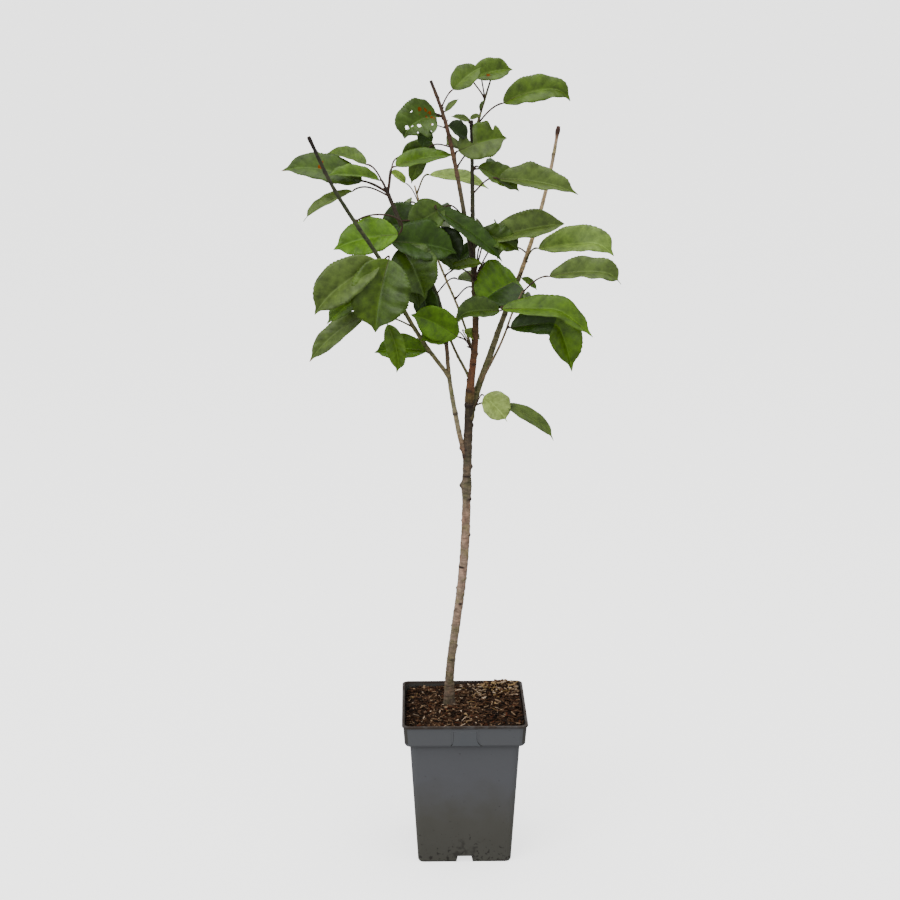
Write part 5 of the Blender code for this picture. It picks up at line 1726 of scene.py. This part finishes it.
    def loose_strands(self) -> None:
        """Makes the coconut fibres: thin three-sided tubes, each along an arc that lies on the bed."""
        rng = np.random.default_rng(self.seeds[2])
        skin = Skin()
        count = len(self.strand_taper)
        t = np.linspace(-0.5, 0.5, count)
        low, chance, arch = self.strand_lift
        for x, y in zip(*self.scatter(rng, self.strands, *self.strand_room)):
            turn = rng.uniform(0, 2 * math.pi)
            length = rng.uniform(*self.strand_long) * MM
            heading = turn + rng.uniform(-self.strand_sweep, self.strand_sweep) * t
            line = np.stack([np.cos(heading), np.sin(heading)], -1) * (length / (count - 1))
            flat = np.array((x, y)) + np.cumsum(line, 0) - line.sum(0) / 2
            flat = np.clip(flat, -self.half + self.strand_edge, self.half - self.strand_edge)
            lift = (low + rng.uniform(0, chance) + arch * np.sin(math.pi * (t + 0.5))) * MM
            points = np.column_stack([flat, self.height(flat[:, 0], flat[:, 1]) + lift])
            ways = np.column_stack([np.cos(heading), np.sin(heading), heading * 0])
            radii = rng.uniform(*self.strand_thick) * MM * np.array(self.strand_taper)
            pale = int(rng.uniform() < self.strand_pale * smooth_step(0.0, 0.10, x + 0.9 * y))
            skin.add(*tube(points, ways, np.array((0.0, 0.0, 1.0)), radii, 3, pale))
        finishes = [LooseWood("coconut_fibre_dark", "#553a24", 4.0).make(),
                    LooseWood("coconut_fibre_pale", "#96794a", 4.0).make()]
        skin.piece("potting_mix_strands", finishes, "potting_mix", ("potting_mix",))

    def build(self) -> None:
        """Makes the bed, the chips and the strands."""
        self.bed()
        self.loose_chips()
        self.loose_strands()


@dataclass
class Pot:
    """Square nursery pot: the CAD node in moulded plastic, with a label panel's plate on each collar side."""

    finish: MouldedPlastic = MouldedPlastic()
    panel: MouldedPlastic = MouldedPlastic("moulded_polypropylene_panel", "#4e5359")
    # Painted shade: a dark finish along the plates' sides, where the groove round each plate is not cut
    groove_shade: str = "#211f1e"
    foot: float = 0.1788
    height: float = 0.0216
    width: float = 0.0325
    flares: tuple = (0.0035, 0.0070)
    collar: tuple = (0.180, 0.0255, 0.0815, 0.0833)     # foot, height, distance of its face at foot and top
    proud: float = 0.0011
    sunk: tuple = (0.0002, 0.0006)      # how deep the plate's edge and its back lie
    bevel: float = 0.0007
    groove_shade_width: float = 0.0008
    columns: int = 41
    rows: int = 29

    def plate(self) -> tuple[Array, Array, Array]:
        """Works out one plate, which faces -Y.

        At its foot it flares to the left and right as (1 - v)^5, and it stands proud by the share
        min(1, distance from its edge / bevel).

        Returns:
            Vertices, quads seen from outside, and which quads take the painted groove shade: the front's narrow
            margins at the sides, the back and the rim.
        """
        u, v = np.meshgrid(np.linspace(-1, 1, self.columns), np.linspace(0, 1, self.rows))
        half = self.width / 2 + np.where(u < 0, *self.flares) * (1 - v) ** 5
        z = self.foot + v * self.height
        start, tall, low, high = self.collar
        face = low + (high - low) * (z - start) / tall
        edge = np.minimum((1 - np.abs(u)) * half, np.minimum(v, 1 - v) * self.height)
        out = face - self.sunk[0] + (self.proud + self.sunk[0]) * np.clip(edge / self.bevel, 0, 1)
        front = np.stack([u * half, -out, z], -1)
        back = front.copy()
        back[..., 1] = -(face - self.sunk[1])
        quads = grid_quads(self.rows, self.columns, False)
        rim = rim_quads(quads, u.size)
        margin = (1 - np.abs((u[1:, 1:] + u[:-1, :-1]) / 2)) * half[1:, 1:]
        faces = np.vstack([quads, quads[:, ::-1] + u.size, rim])
        marks = np.concatenate([(margin < self.groove_shade_width).ravel(), np.ones(len(quads) + len(rim), bool)])
        return np.vstack([front.reshape(-1, 3), back.reshape(-1, 3)]), faces, marks

    def build(self) -> None:
        """Dresses the CAD node and adds the four plates."""
        pot = frame["nodes"]["pot"]
        plastic = self.finish.make()
        # The plates' second finish is the painted shade of the groove at their sides
        finishes = [self.panel.make(), LooseWood("painted_groove_shade", self.groove_shade).make()]
        pot.data.materials.clear()
        pot.data.materials.append(plastic)
        vertices, faces, marks = self.plate()
        skin = Skin()
        for turn in range(4):
            c, s = math.cos(turn * math.pi / 2), math.sin(turn * math.pi / 2)
            skin.add(vertices @ np.array(((c, s, 0), (-s, c, 0), (0, 0, 1))), [(faces, marks.astype(int))])
        skin.piece("pot_collar_panels", finishes, "pot", flat=True)
        LOG.info("pot: dressed")


@dataclass
class Studio:
    """Plain pale floor, soft light and the camera at the photograph's place."""

    focal_px: float = 1930.0
    frame_px: float = 900.0
    sensor_mm: float = 36.0
    place: tuple = (-0.065, -2.493, 1.214)
    down: float = 14.5          # degrees below the level
    right: float = 1.06         # degrees to the right of straight ahead
    floor_radius: float = 60.0
    floor_sides: int = 96
    floor_low: float = -0.0005
    floor_glow: float = 1.8
    room_above: float = 0.95
    room_below: float = 0.40
    room_fade: tuple = (-0.6, 0.5)      # between these heights of the view's direction
    lamps: tuple = (("overhead", (0.2, -0.4, 3.7), (0, 0, 0), 3.0, 62.0),
                    ("front_left", (-2.3, -2.7, 2.5), (61, 0, -40), 2.2, 70.0))

    def put(self, name: str, data: bpy.types.ID, place: tuple = (0, 0, 0),
            turn: tuple = (0, 0, 0)) -> bpy.types.Object:
        """Puts an object in the scene.

        Args:
            name: its name.
            data: what it shows.
            place: where it stands.
            turn: its turn in degrees.
        Returns:
            The object.
        """
        thing = bpy.data.objects.new(name, data)
        thing.location = place
        thing.rotation_euler = [math.radians(angle) for angle in turn]
        bpy.context.scene.collection.objects.link(thing)
        return thing

    def camera(self) -> None:
        """Places the camera."""
        data = bpy.data.cameras.new("camera")
        data.sensor_width = self.sensor_mm
        data.lens = self.focal_px / self.frame_px * self.sensor_mm
        bpy.context.scene.camera = self.put("camera", data, self.place, (90 - self.down, 0.0, -self.right))

    def floor(self) -> None:
        """Makes the floor: a disc of pale paper a hair below the pot, lit so that it stays nearly white."""
        angle = np.linspace(0, 2 * math.pi, self.floor_sides, endpoint=False)
        rim = np.stack([np.cos(angle), np.sin(angle), angle * 0], -1) * self.floor_radius
        rim[:, 2] = self.floor_low
        mesh = bpy.data.meshes.new("floor")
        mesh.from_pydata(rim.tolist(), [], [list(range(self.floor_sides))])
        paper = Surface("pale_paper", 0.9, 0.0)
        paper.feed({"Base Color": linear("#f4f4f2"), "Emission Color": linear("#ffffff"),
                    "Emission Strength": self.floor_glow})
        mesh.materials.append(paper.material)
        floor = self.put("floor", mesh)
        floor.visible_diffuse = False
        floor.visible_glossy = False
        floor.visible_shadow = False

    def light(self) -> None:
        """Sets an even room, brighter above than below, and two large soft boxes."""
        world = bpy.data.worlds.new("studio")
        world.use_nodes = True
        tree = world.node_tree
        place = add(tree, "TexCoord")
        split = add(tree, "SeparateXYZ", {0: place.outputs["Generated"]})
        low, high = self.room_fade
        fade = add(tree, "MapRange", {"Value": split.outputs["Z"], "From Min": low, "From Max": high,
                                      "To Min": self.room_below, "To Max": self.room_above})
        feed(tree, tree.nodes["Background"], {"Color": linear("#ffffff"), "Strength": fade.outputs[0]})
        bpy.context.scene.world = world
        for name, place, turn, size, power in self.lamps:
            data = bpy.data.lights.new(name, "AREA")
            data.size = size
            data.energy = power
            self.put(name, data, place, turn)

    def build(self) -> None:
        """Makes the camera, the floor and the lights."""
        self.camera()
        self.floor()
        self.light()


def main() -> None:
    """Builds the scene in order."""
    logging.basicConfig(level=logging.INFO, format="%(message)s", stream=sys.stdout)
    Studio().build()
    Pot().build()
    PottingMix().build()
    Tree().build()


if __name__ == "__main__":
    main()
